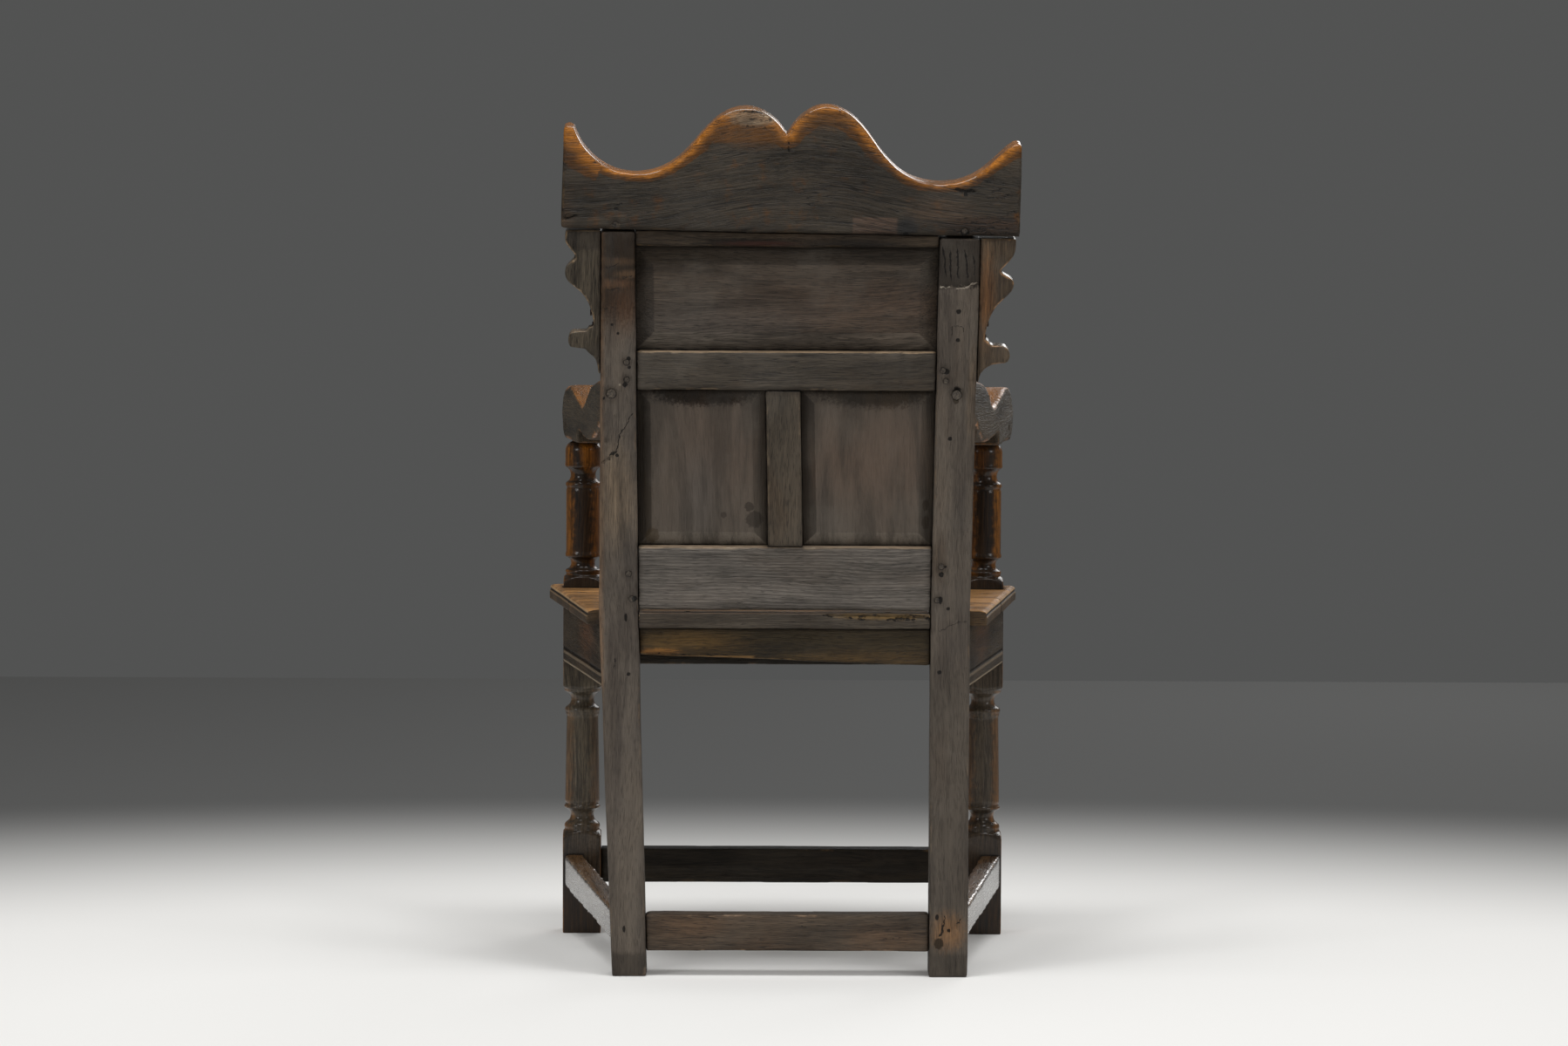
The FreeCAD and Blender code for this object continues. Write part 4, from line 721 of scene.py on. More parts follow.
def patch(at, half_across, half_up, tint, strength=0.7):
    """A tint with four straight borders, where something once covered the wood."""
    def draw(tree, place, ragged, waver):
        off = vector_calc(tree, "ABSOLUTE", vector_calc(tree, "SUBTRACT", place, at))
        off = vector_calc(tree, "MULTIPLY", off, (1 / half_across, 0, 1 / half_up))
        sides = tree.nodes.new("ShaderNodeSeparateXYZ")
        tree.links.new(off, sides.inputs[0])
        return fade(tree, calc(tree, "MAXIMUM", sides.outputs["X"], sides.outputs["Z"]),
                    0.94, 1.06, 1.0, 0.0)
    return draw, paint(*tint), strength, 0.0


# %% [markdown]
# A board's material puts the recipes together. deep and pale are the two colours between which the
# grain moves. Stains are laid on before the handling, and holes and splits after it.

# %% Helpers for materials
def blank(name):
    """A new material, with its tree, its shader and Object coordinates."""
    material = bpy.data.materials.new(name)
    material.use_nodes = True
    tree = material.node_tree
    place = tree.nodes.new("ShaderNodeTexCoord").outputs["Object"]
    return material, tree, tree.nodes["Principled BSDF"], place


def stand_out(tree, skin, height, distance):
    """Let a height stand out of the surface as bump."""
    relief = tree.nodes.new("ShaderNodeBump")
    relief.inputs["Distance"].default_value = distance
    tree.links.new(height, relief.inputs["Height"])
    tree.links.new(relief.outputs["Normal"], skin.inputs["Normal"])


def dress(material, *names):
    """Give pieces a finish: the aged copies where there are any, or the CAD nodes."""
    for title in names:
        piece = seasoned.get(title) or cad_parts[title]
        piece.data.materials.clear()
        piece.data.materials.append(material)
    print(material.name, "is on", ", ".join(names))


# %% A function for oak finishes
def oak(name, deep, pale, bare, rings=110, flame=14, figure=0.35, checks=0.6, rough=(0.45, 0.65),
        wear=0.6, dust=0.2, coat=0.0, gloss=0.2, shine=0.3, tinge=(), marks=(), polish=None,
        bump=0.0008, streaks=0.5, bloom=0.2, pores=0.75):
    """An oak finish. streaks is how much of the colour lies in fibres. polish waxes the faces that
    look up, by its low and high slope and its strength."""
    material, tree, skin, place = blank(name)
    board = attribute(tree, "board", "Vector")
    lines = use(tree, grain, Board=board, Rings=rings, Flame=flame, Figure=figure, Checks=checks)
    blend = plus(tree, times(tree, lines["Tone"], 1 - streaks),
                 times(tree, lines["Fibre"], streaks))
    colour = mix(tree, blend, paint(*deep), paint(*pale))
    hue = cloud(tree, board, (5, 16, 16), 3.0, 0.6)
    warm = fade(tree, hue, 0.52, 0.68, 0.0, bloom)
    cool = fade(tree, hue, 0.48, 0.32, 0.0, bloom)
    colour = mix(tree, warm, colour, paint(pale[0], pale[1] * 0.86, pale[2] * 0.72))
    colour = mix(tree, cool, colour, paint(deep[0], deep[1] * 1.08, deep[2] * 1.2))
    ragged = cloud(tree, place, 260.0, 3.0, 0.7)
    waver = cloud(tree, place, 90.0, 3.0, 0.7)
    waver = times(tree, minus(tree, waver, 0.5), 0.012)
    for draw, tint, strength, _ in tinge:
        mask = draw(tree, place, ragged, waver)
        mask = times(tree, mask, fade(tree, blend, 0.0, 0.9, 0.8, 1.0))
        in_grain = [tuple(part * share for part in tint[:3]) + (1.0,) for share in (0.55, 1.2)]
        grained = mix(tree, fade(tree, blend, 0.1, 0.8), in_grain[0], in_grain[1])
        colour = mix(tree, times(tree, mask, strength), colour, grained)
    colour = mix(tree, times(tree, lines["Pores"], pores), colour, paint(*SOOT))
    handled = use(tree, handling, Place=place, Colour=colour, Bare=paint(*bare),
                  Rub=attribute(tree, "rub"), Grime=attribute(tree, "grime"),
                  Nook=attribute(tree, "nook"), Wear=wear, Dust=dust)
    colour = handled["Colour"]
    height = lines["Height"]
    for draw, tint, strength, depth in marks:
        mask = draw(tree, place, ragged, waver)
        colour = mix(tree, times(tree, mask, strength), colour, tint)
        height = minus(tree, height, times(tree, mask, depth))
    tree.links.new(colour, skin.inputs["Base Color"])
    dry = minus(tree, lines["Fibre"], times(tree, handled["Shine"], 0.8))
    tree.links.new(fade(tree, dry, -0.3, 1.2, *rough), skin.inputs["Roughness"])
    waxed = fade(tree, handled["Shine"], 0.1, 0.7, coat, max(coat, shine))
    if polish:
        low, high, strength = polish
        draw = slope("faces_up", low, high)[0]
        rubbed = times(tree, draw(tree, place, ragged, waver), strength)
        waxed = calc(tree, "MAXIMUM", waxed, rubbed)
    tree.links.new(waxed, skin.inputs["Coat Weight"])
    dents = cloud(tree, place, 70.0, 4.0, 0.6)
    stand_out(tree, skin, plus(tree, height, times(tree, dents, 1.4)), bump)
    skin.inputs["Specular IOR Level"].default_value = gloss
    skin.inputs["Coat Roughness"].default_value = 0.16
    return material


# %% [markdown]
# ## The back
#
# The rear faces were never waxed. They are a dusty grey brown, with the fibres standing a little
# proud. The rails' upper arrises carry a painted highlight. The panels are warmer in the middle and
# darker in the corners, where painted shade lies, and their bevels are painted lighter where they
# look down and darker where they look up or sideways, as light and shade would fall on them. A
# hand-cut bevel arches a little at its top, which a dark painted shadow over the straight bevel
# suggests.

# %% Panels
UMBER = (40, 32, 22)
RUSSET = (92, 68, 52)
LEAD = (74, 74, 72)
# Painted light and shade on the panel bevels: lighter where a bevel looks down, darker where it
# looks to either side.
BEVEL_PAINTED_LIGHT = [
    slope("faces_up", -0.2, -0.34, (100, 92, 82), 0.6),
    slope("faces_left", 0.1, 0.22, (36, 30, 23), 0.75),
    slope("faces_left", -0.1, -0.22, (50, 45, 38), 0.6),
]
dress(oak(
    "oak_upper_panel", (42, 36, 30), (78, 68, 58), (104, 88, 70), figure=0.2, bloom=0.1, tinge=[
        *BEVEL_PAINTED_LIGHT,
        # Painted shadow: the top bevel, which looks up, and its left end are darkened as if shaded
        # by the rail above.
        slope("faces_up", 0.0, 0.08, (34, 28, 21), 0.6),
        *stains((0.16, 0.462, 0.03, UMBER, 0.6, 0.4, 1.8, 0.8), face=on_panel),
        *stains((-0.03, 0.39, 0.05, RUSSET, 0.2, 0.3, 1.4, 0.9),
                (-0.13, 0.41, 0.03, RUSSET, 0.2, 0.4, 1.6, 0.9),
                (0.10, 0.38, 0.04, LEAD, 0.3, 0.4, 1.6, 0.9)),
    ], marks=splits((0.180, 0.469, 0.125, 0.466, 0.0012), (-0.075, 0.440, -0.115, 0.438, 0.0007),
                    face=on_panel)), "upper_back_panel")
dress(oak(
    "oak_lower_panels", (64, 57, 50), (88, 79, 70), (100, 84, 68), figure=0.1, checks=0.1,
    wear=0.4, streaks=0.25, pores=0.12, bump=0.0005, bloom=0.08, tinge=[
        *BEVEL_PAINTED_LIGHT,
        # Painted shadow: these two dark stains over the top bevels stand for the shade of the rail
        # above on an arched bevel.
        stain(on_back(0.1077, 0.2940, -0.015), 0.0240, (26, 20, 12), 1.1, (0.325, 0.3, 1), 0.22),
        stain(on_back(-0.1097, 0.2930, -0.015), 0.0250, (44, 37, 28), 1.0, (0.325, 0.3, 1), 0.25),
        *stains((0.194, 0.24, 0.012, (40, 33, 24), 0.8, 1, 0.15, 0.5),
                (0.090, 0.21, 0.05, RUSSET, 0.2, 0.9, 0.8, 0.9),
                (0.110, 0.16, 0.03, LEAD, 0.3, 1.2, 0.6, 0.9),
                (-0.130, 0.20, 0.045, RUSSET, 0.25, 0.9, 0.8, 0.9),
                (-0.060, 0.20, 0.035, RUSSET, 0.2, 0.9, 0.8, 0.9),
                (0.190, 0.16, 0.02, UMBER, 0.6, 1.4, 0.2, 0.6), face=on_panel),
    ], marks=[
        hole(on_back(0.043, 0.121, -0.011), 0.011, (1, 0.3, 1), 0.4, (34, 28, 22), 0.6),
        hole(on_back(0.050, 0.138, -0.011), 0.006, (1, 0.3, 1), 0.4, (34, 28, 22), 0.6),
        hole(on_back(0.083, 0.127, -0.011), 0.004, (1, 0.3, 1), 0.4, (40, 32, 26), 0.5),
        hole(on_back(0.175, 0.100, -0.011), 0.009, (1, 0.3, 1), 0.3, (56, 44, 26), 0.6),
        hole(on_back(-0.178, 0.141, -0.011), 0.006, (1.4, 0.3, 0.8), 0.4, UMBER, 0.6),
        hole(on_back(-0.178, 0.118, -0.011), 0.007, (1.4, 0.3, 0.8), 0.4, UMBER, 0.6),
    ]), "lower_back_panel_left", "lower_back_panel_right")

# %% Rails and muntin of the back
# painted highlight on the rails' upper arrises, the faces that look up
RAIL_ARRIS_HIGHLIGHT = slope("faces_up", 0.25, 0.6, (150, 126, 98), 0.6, 0.5)
dress(oak("oak_middle_rail", (42, 37, 31), (80, 72, 62), (128, 108, 84), figure=0.25, checks=0.9,
          tinge=[RAIL_ARRIS_HIGHLIGHT]), "middle_back_rail")
dress(oak("oak_muntin", (52, 46, 38), (86, 76, 64), (120, 104, 84), figure=0.1, checks=0.3,
          marks=splits((0.0215, 0.118, 0.0185, 0.094, 0.0007),
                       (0.0165, 0.124, 0.0120, 0.096, 0.0008),
                       (0.0030, 0.120, 0.0020, 0.106, 0.0007),
                       (-0.0010, 0.118, -0.0020, 0.112, 0.0007))), "back_muntin")
# The two SOOT stains along the top rail are painted shadow under the crest's overhang; the reddish
# stain is the wood's own streak.
dress(oak("oak_top_rail", (28, 21, 15), (74, 62, 48), (112, 88, 52), figure=0.3, checks=0.9,
          dust=0.05, marks=stains((0.05, 0.484, 0.022, SOOT, 0.8, 0.35, 4, 0.6),
                                  (0.04, 0.482, 0.014, (60, 30, 20), 0.6, 0.3, 4, 0.6),
                                  (-0.08, 0.481, 0.022, SOOT, 0.7, 0.35, 4, 0.6), through=1)),
      "top_back_rail")
dress(oak("oak_lower_rail", (60, 56, 51), (114, 107, 100), (142, 126, 104), rings=215, flame=1.2,
          figure=0.9, checks=0.5, streaks=0.6, bloom=0.08, tinge=[RAIL_ARRIS_HIGHLIGHT],
          marks=splits((-0.084, 0.0575, -0.090, 0.0555, 0.0009),
                       (0.020, 0.074, 0.005, 0.0735, 0.0007))), "lower_back_rail")

# %% [markdown]
# The left stile is redder at its top and warm along its outer arris, and a split runs down from
# the arm's plug. The right stile is dark at its top, with long splits down to a ragged edge, and
# it carries the larger wormholes.

# %% Left stile
STILE = dict(deep=(64, 57, 51), pale=(97, 88, 78), bare=(120, 100, 78), figure=0.1, streaks=0.35,
             checks=0.45, wear=0.5, pores=0.4, bloom=0.12)
FOOT_BAND = band(0.034, 0.026, (40, 35, 29), 0.6, torn=0.01)
dress(oak("oak_left_stile", **STILE, tinge=[
    FOOT_BAND,
    band(0.832, 0.876, (33, 23, 13), 0.95, torn=0.06),
    band(0.234, 0.243, (132, 96, 62), 0.4, "X", 0.006),
    *stains((0.210, 0.395, 0.02, (84, 56, 36), 0.4, 1, 0.7, 0.9),
            (0.230, 0.430, 0.014, (92, 66, 46), 0.6, 0.6, 2.6, 0.7),
            (0.205, 0.442, 0.014, (92, 70, 50), 0.5, 0.7, 3.0, 0.7),
            (0.224, 0.458, 0.014, (80, 60, 42), 0.5, 0.6, 3.0, 0.7),
            (0.222, 0.155, 0.03, (132, 112, 88), 0.45, 1.4, 0.6, 0.9)),
], marks=[
    *splits((0.1993, 0.262, 0.2170, 0.2335, 0.0008), (0.2170, 0.2335, 0.2205, 0.212, 0.0009),
            (0.2205, 0.212, 0.2406, 0.196, 0.0016)),
    *splits((0.242, 0.4180, 0.2180, 0.4250, 0.0007), (0.242, 0.3950, 0.2230, 0.3990, 0.0006),
            (0.214, 0.4360, 0.1980, 0.4420, 0.0007), tint=(30, 20, 14), strength=0.6),
    *splits((0.236, 0.4500, 0.2180, 0.4570, 0.0008), tint=(24, 16, 10), strength=0.7),
    *splits((0.2380, 0.2850, 0.2384, 0.2800, 0.0012)),
    *holes((0.2274, 0.3767, 0.0017), (0.2195, 0.3654, 0.0017), (0.2061, 0.3327, 0.0026),
           (0.2050, 0.3214, 0.0020), (0.2105, 0.2987, 0.0030)),
    hole(on_back(0.2172, 0.2987), 0.0015, tint=(130, 120, 106), depth=-0.5),
    *holes((0.2205, 0.2066, 0.0022), (0.1978, 0.0184, 0.0036)),
    *holes((0.2053, 0.3942, 0.0022), face=on_leg),
    hole(on_leg(0.2090, 0.4680), 0.0026, (1.6, 1, 0.5)),
    *splits((0.2234, 0.416, 0.2230, 0.400, 0.0008), face=on_leg),
    hole(on_leg(0.2100, 0.062), 0.0018, (1, 1, 0.4)),
]), "rear_leg_left")

# %% Right stile
dress(oak("oak_right_stile", **STILE, tinge=[
    FOOT_BAND,
    band(0.896, 0.900, (34, 28, 22), 0.85, torn=0.03),
    band(0.46, 0.36, (62, 56, 49), 0.45),
    *stains((-0.196, 0.070, 0.02, (78, 58, 36), 0.35, 2.4, 0.7, 0.6)),
    *stains((-0.210, 0.060, 0.02, (134, 96, 58), 0.55, 1, 0.9, 0.6), face=on_leg),
    *stains((-0.236, 0.28, 0.02, (118, 98, 76), 0.4, 3, 0.35, 0.6)),
], marks=[
    *splits((-0.1911, 0.4275, -0.2125, 0.4245, 0.0011), tint=(190, 180, 164), strength=0.8,
            depth=1.0),
    *splits((-0.2125, 0.4245, -0.2419, 0.4318, 0.0011), tint=(170, 158, 142), strength=0.7,
            depth=1.0),
    *splits((-0.196, 0.478, -0.200, 0.440, 0.0012), (-0.204, 0.476, -0.207, 0.436, 0.0013),
            (-0.214, 0.478, -0.216, 0.436, 0.0011), (-0.224, 0.474, -0.228, 0.438, 0.0014),
            (-0.234, 0.470, -0.237, 0.440, 0.0010)),
    *holes((-0.2166, 0.3957, 0.0032), (-0.2160, 0.3585, 0.0026), (-0.2020, 0.3176, 0.0036),
           (-0.2157, 0.2930, 0.0050)),
    hole(on_back(-0.2147, 0.2830), 0.0042, (1, 1, 0.6), tint=(46, 38, 26)),
    *holes((-0.2075, 0.2302, 0.0026), (-0.1985, 0.0518, 0.0032), (-0.2040, 0.0621, 0.0014)),
    hole(on_back(-0.1977, 0.0184), 0.0026, (1, 1, 0.5), 1.0),
    *splits((-0.2079, 0.3788, -0.2237, 0.3740, 0.0006), (-0.2237, 0.3740, -0.2237, 0.3680, 0.0006),
            (-0.2079, 0.3640, -0.2079, 0.3788, 0.0006), strength=0.6),
    *splits((-0.2345, 0.307, -0.2370, 0.260, 0.0010)),
    *holes((-0.2080, 0.4808, 0.0024), (-0.1974, 0.3981, 0.0026), face=on_leg),
    hole(on_leg(-0.1962, 0.0788), 0.0022, (1, 1, 0.6)),
    hole(on_leg(-0.1990, 0.0440), 0.0060, (1, 1, 0.8), 1.0, (40, 30, 18)),
    *holes((-0.2120, 0.0610, 0.0024), face=on_leg),
    *splits((-0.2077, 0.078, -0.2000, 0.052, 0.0014), (-0.2280, 0.0766, -0.2180, 0.060, 0.0008),
            face=on_leg),
    *splits((-0.1960, 0.452, -0.2330, 0.466, 0.0007), face=on_leg, strength=0.6),
]), "rear_leg_right")

# %% [markdown]
# ## Crest rail
#
# Hands lift the chair by its crest, so its upper edge is polished and honey coloured. The colour
# fills the two horns and the left hump and is only a thin line elsewhere, so one more attribute
# holds how far each point is into that band.

# %% Measure the honey band of the crest
RIM_LOW = 1.02
THIN_BAND = 0.010
BROAD_ABOVE = 1.045
LEFT_HORN = 0.24
HUMP_LOW = 1.080
crest_mesh = seasoned["crest_rail"].data
rim_points = [vert.co.copy() for vert, normal in zip(crest_mesh.vertices, crest_mesh.vertex_normals)
              if normal.vector.z > 0.3 and vert.co.z > RIM_LOW]
rim = KDTree(len(rim_points))
for index, co in enumerate(rim_points):
    rim.insert(co, index)
rim.balance()
honey = crest_mesh.attributes.new("honey", "FLOAT", "POINT")
for vert in crest_mesh.vertices:
    near, index, gap = rim.find(vert.co)
    width = THIN_BAND + 0.19 * max(near.z - BROAD_ABOVE, 0.0)
    if near.x > LEFT_HORN:
        width *= 2.2
    amount = 1.0 - gap / width
    if 0.003 < vert.co.x < 0.12:
        amount = max(amount, min((vert.co.z - HUMP_LOW) / 0.012, 0.4))
    honey.data[vert.index].value = min(max(amount, 0.0), 1.0)
print("points on the rim", len(rim_points))

# %% Crest finish
TORN_EDGE = dict(torn=0.5, scale=45.0)
dress(oak(
    "oak_crest", (26, 23, 18), (68, 60, 50), (104, 80, 50), checks=1.0, wear=0.35, dust=0.1,
    polish=(0.1, 0.45, 0.9), bump=0.0012, bloom=0.1, tinge=[
        slope("honey", 0.02, 0.16, (80, 48, 11), 0.95, **TORN_EDGE),
        slope("honey", 0.3, 0.9, (158, 96, 16), 0.95, **TORN_EDGE),
        *stains((-0.050, 0.642, 0.020, (98, 70, 42), 0.5, 0.5, 1.6, 0.6),
                (0.045, 0.644, 0.018, (122, 106, 86), 0.85, 0.55, 1.7, 0.4),
                (0.045, 0.618, 0.018, (78, 50, 20), 0.7, 0.42, 1.4, 0.6), through=0.2),
        patch(on_back(-0.1085, 0.503), 0.0285, 0.0135, (84, 66, 54), 0.8),
        *stains((-0.150, 0.502, 0.013, (32, 34, 36), 0.8, 1, 0.9, 0.4),
                (-0.250, 0.505, 0.045, (52, 35, 23), 0.75, 0.9, 3.4, 0.5),
                (-0.190, 0.525, 0.03, (80, 58, 40), 0.4, 0.9, 2.0, 0.8),
                (0.290, 0.515, 0.014, (80, 58, 38), 0.5, 1.2, 0.5, 0.8), through=0.2),
    ], marks=[
        *splits((0.297, 0.5128, 0.2719, 0.5170, 0.0016), (0.0150, 0.6040, 0.0036, 0.6062, 0.0014),
                (0.0032, 0.615, 0.0022, 0.598, 0.0013), (-0.210, 0.5531, -0.2358, 0.5510, 0.0022)),
        *holes((-0.2236, 0.5470, 0.0028)),
        *splits((-0.206, 0.513, -0.2300, 0.5160, 0.0012), (-0.230, 0.516, -0.2908, 0.5200, 0.0010),
                (-0.215, 0.509, -0.2850, 0.5110, 0.0012), (-0.232, 0.5025, -0.2910, 0.5030, 0.0014),
                (-0.205, 0.4990, -0.2550, 0.5000, 0.0012),
                (-0.240, 0.4960, -0.2900, 0.4980, 0.0010)),
        hole(on_back(-0.2232, 0.4971), 0.0040, (0.8, 1, 1.2)),
        hole(on_back(-0.1480, 0.4960), 0.0026, (0.8, 1, 1.3)),
        *splits((-0.248, 0.5440, -0.2760, 0.5410, 0.0014), (-0.272, 0.5450, -0.2900, 0.5480, 0.0014),
                (-0.276, 0.5240, -0.2900, 0.5250, 0.0014)),
        hole(on_back(0.2219, 0.5262), 0.0022, (0.8, 1, 1.2)),
        *splits((0.2231, 0.5275, 0.2131, 0.5330, 0.0014)),
        hole(on_back(0.2219, 0.5060), 0.0040, (0.7, 1, 1.3), 1.0, (78, 70, 60), 0.7),
        *splits((0.0660, 0.6510, 0.0249, 0.6520, 0.0017)),
        *splits((0.0600, 0.6455, 0.0300, 0.6475, 0.0012), tint=(206, 184, 150), strength=0.8),
        *splits((0.0560, 0.6410, 0.0215, 0.6410, 0.0019)),
        *splits((0.0640, 0.6360, 0.0350, 0.6365, 0.0012), tint=(206, 184, 150), strength=0.8),
        *splits((0.0600, 0.6310, 0.0180, 0.6310, 0.0017)),
    ]), "crest_rail")

# %% Brackets
BRACKET = dict(wear=0.8, shine=0.7, polish=(0.3, 0.8, 0.7))
# painted light: the bracket faces that look up are lighter, as if lit from above
BRACKET_TOPS_PAINTED_LIT = slope("faces_up", 0.3, 0.8, (140, 116, 88), 0.6)
dress(oak("oak_left_bracket", (34, 29, 23), (84, 75, 62), (150, 122, 88), checks=1.0, rings=170,
          **BRACKET, tinge=[band(0.940, 0.946, (36, 29, 22), 0.6), BRACKET_TOPS_PAINTED_LIT]),
      "ear_bracket_left")
dress(oak("oak_right_bracket", (52, 41, 31), (98, 82, 63), (158, 116, 72), figure=0.3, checks=0.7,
          rings=150, **BRACKET, tinge=[
              BRACKET_TOPS_PAINTED_LIT,
              *stains((-0.2520, 0.415, 0.03, (122, 76, 34), 0.5, 3.0, 0.6, 0.8)),
          ], marks=[
              *splits((-0.2500, 0.4750, -0.2640, 0.4690, 0.0010),
                      (-0.2480, 0.4400, -0.2520, 0.4200, 0.0010)),
              *holes((-0.2660, 0.4310, 0.0024)),
          ]), "ear_bracket_right")

# %% [markdown]
# ## Seat, arms and posts
#
# These were waxed and handled. Their upper faces are honey coloured, their ends are greyer, and
# the wax gives a second, clear gloss, which is the coat of the shader.

# %% Seat and arms
dress(oak(
    "oak_seat", (46, 35, 24), (92, 72, 49), (150, 112, 72), figure=0.3, checks=0.5, dust=0.1,
    coat=0.05, polish=(0.3, 0.8, 0.25), tinge=[
        slope("faces_up", 0.25, 0.75, (184, 134, 78), 0.9),
        band(0.176, 0.182, (68, 62, 54), 0.9, "Y", 0.004),
        *stains((-0.125, 0.4715, 0.06, (104, 80, 40), 0.8, 1, 11, 0.4), face=on_leg),
    ], marks=[
        # The dark line in the scratched groove is painted shade, and the two pale lines beside it
        # are painted highlights on its arrises.
        side_line(SEAT_LINE, 0.0012, SOOT, 0.9),
        side_line(SEAT_LINE + 0.0028, 0.0012, (190, 158, 118), 0.6, -0.5),
        side_line(SEAT_LINE - 0.0026, 0.0010, (150, 124, 92), 0.5, -0.5),
        *splits((-0.045, 0.4722, -0.064, 0.4706, 0.0018), (-0.067, 0.4728, -0.084, 0.4684, 0.0018),
                (-0.088, 0.4722, -0.109, 0.4708, 0.0020), (-0.090, 0.4684, -0.101, 0.4670, 0.0014),
                (-0.110, 0.4714, -0.121, 0.4694, 0.0020), (-0.128, 0.4658, -0.139, 0.4660, 0.0016),
                (-0.137, 0.4686, -0.166, 0.4680, 0.0024), (-0.150, 0.4722, -0.180, 0.4710, 0.0018),
                (-0.178, 0.4700, -0.186, 0.4660, 0.0024), face=on_leg),
    ]), "seat_board_front", "seat_board_rear")
dress(oak(
    "oak_arms", (40, 34, 26), (82, 71, 56), (150, 98, 46), figure=0.2, checks=0.5,
    rough=(0.4, 0.6), dust=0.1, coat=0.05, shine=0.6, polish=(0.3, 0.8, 0.2),
    tinge=[slope("faces_up", 0.35, 0.9, (122, 76, 26), 0.85)], marks=[
        hole(Vector((0.2832, 0.1900, 0.7390)), 0.0016, (1, 0.05, 0.27)),
        hole(Vector((0.2601, 0.1900, 0.7365)), 0.0018, (1, 0.05, 0.24)),
    ]), "arm_left", "arm_right")

# %% Turned posts
dress(oak(
    "oak_posts", (13, 8, 4), (54, 36, 18), (130, 80, 30), figure=0.5, rough=(0.4, 0.6),
    wear=0.5, dust=0.03, coat=0.4, gloss=0.15, bump=0.0003, rings=160, streaks=0.7, tinge=[
        # Painted side light: these two tints make the posts lighter and warmer on their sides than
        # in the middle.
        slope("faces_left", 0.35, 0.85, (118, 72, 18), 0.85, 0.9),
        slope("faces_left", -0.35, -0.85, (118, 72, 18), 0.85, 0.9),
        stain(Vector((0.2690, -0.20, 0.662)), 0.022, (150, 92, 24), 0.8, (2.6, 0.1, 0.9), 0.5),
        stain(Vector((-0.2690, -0.20, 0.662)), 0.022, (110, 66, 20), 0.6, (2.6, 0.1, 0.9), 0.5),
        stain(Vector((0.268, -0.21, 0.27)), 0.06, (100, 91, 76), 0.7, (1, 1, 0.5), 0.9),
        stain(Vector((-0.268, -0.21, 0.27)), 0.06, (84, 76, 64), 0.6, (1, 1, 0.5), 0.9),
    ]), "front_leg_left", "front_leg_right")

# %% Rails and stretchers
SIDE_RAIL_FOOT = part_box("side_seat_rail_left")[0][2]
dress(oak(
    "oak_rear_rail", (24, 19, 12), (60, 50, 33), (110, 84, 46), figure=0.15, checks=0.4, dust=0.05,
    tinge=stains((0.130, 0.430, 0.05, (92, 68, 32), 0.6, 0.8, 2.4, 0.8),
                 (-0.100, 0.414, 0.06, (84, 62, 30), 0.5, 0.7, 6, 0.8),
                 (0.168, 0.4230, 0.020, (122, 82, 36), 0.8, 0.7, 5, 0.4), face=on_rail),
    marks=[
        patch(on_rail(0.118, 0.4110), 0.074, 0.0070, (118, 88, 50), 0.75),
        *splits((0.193, 0.4192, 0.145, 0.4188, 0.0016), (0.145, 0.4188, 0.066, 0.4180, 0.0011),
                (0.066, 0.4180, 0.040, 0.4130, 0.0009), face=on_rail),
    ]), "rear_seat_rail")
dress(oak(
    "oak_rear_stretcher", (44, 36, 28), (88, 75, 62), (140, 112, 84), figure=0.2, checks=0.8,
    dust=0.1, wear=0.8,
    tinge=stains((0.13, 0.068, 0.03, (96, 70, 48), 0.4, 0.7, 1.6, 0.8),
                 (-0.13, 0.050, 0.03, (96, 70, 48), 0.4, 0.7, 2, 0.8), face=on_stretcher),
    marks=splits((0.182, 0.0670, 0.150, 0.0690, 0.0009), (-0.020, 0.0655, -0.028, 0.0645, 0.0010),
                 (-0.150, 0.0680, -0.156, 0.0660, 0.0010), (-0.120, 0.0490, -0.180, 0.0500, 0.0008),
                 face=on_stretcher)), "rear_stretcher")
dress(oak("oak_front_rails", (18, 14, 9), (48, 41, 31), (110, 86, 58), figure=0.2, checks=0.8,
          dust=0.03, coat=0.1), "front_stretcher", "front_seat_rail")
dress(oak(
    "oak_side_rails", (34, 27, 20), (70, 59, 46), (128, 108, 84), figure=0.25, checks=0.5,
    dust=0.05, rough=(0.55, 0.75), gloss=0.12, tinge=[
        stain(Vector((0.262, 0.02, 0.43)), 0.03, (104, 64, 36), 0.4, (1, 0.5, 1), 0.9),
        stain(Vector((-0.262, 0.02, 0.43)), 0.03, (104, 64, 36), 0.3, (1, 0.5, 1), 0.9),
    ], marks=[
        # These lines paint a moulding: the dark one is painted shade of a groove, the two pale ones
        # painted highlights on a bead and the lower arris.
        side_line(SIDE_RAIL_FOOT + 0.019, 0.0020, SOOT, 0.8),
        side_line(SIDE_RAIL_FOOT + 0.014, 0.0018, (128, 112, 92), 0.6, -0.5),
        side_line(SIDE_RAIL_FOOT + 0.001, 0.0022, (150, 134, 112), 0.7, 0.0),
    ]), "side_seat_rail_left", "side_seat_rail_right")
dress(oak("oak_side_stretchers", (40, 31, 22), (86, 72, 56), (150, 120, 86), figure=0.25,
          checks=0.7, dust=0.05, coat=0.9, rough=(0.2, 0.4), gloss=0.5, wear=0.8,
          tinge=[slope("faces_up", 0.25, 0.75, (112, 78, 42), 0.75)]),
      "side_stretcher_left", "side_stretcher_right")

# %% [markdown]
# Pegs keep their sharp CAD shape, because they are small and were cut off flush. Their end grain
# has no direction, so it is plain round noise on Object coordinates.

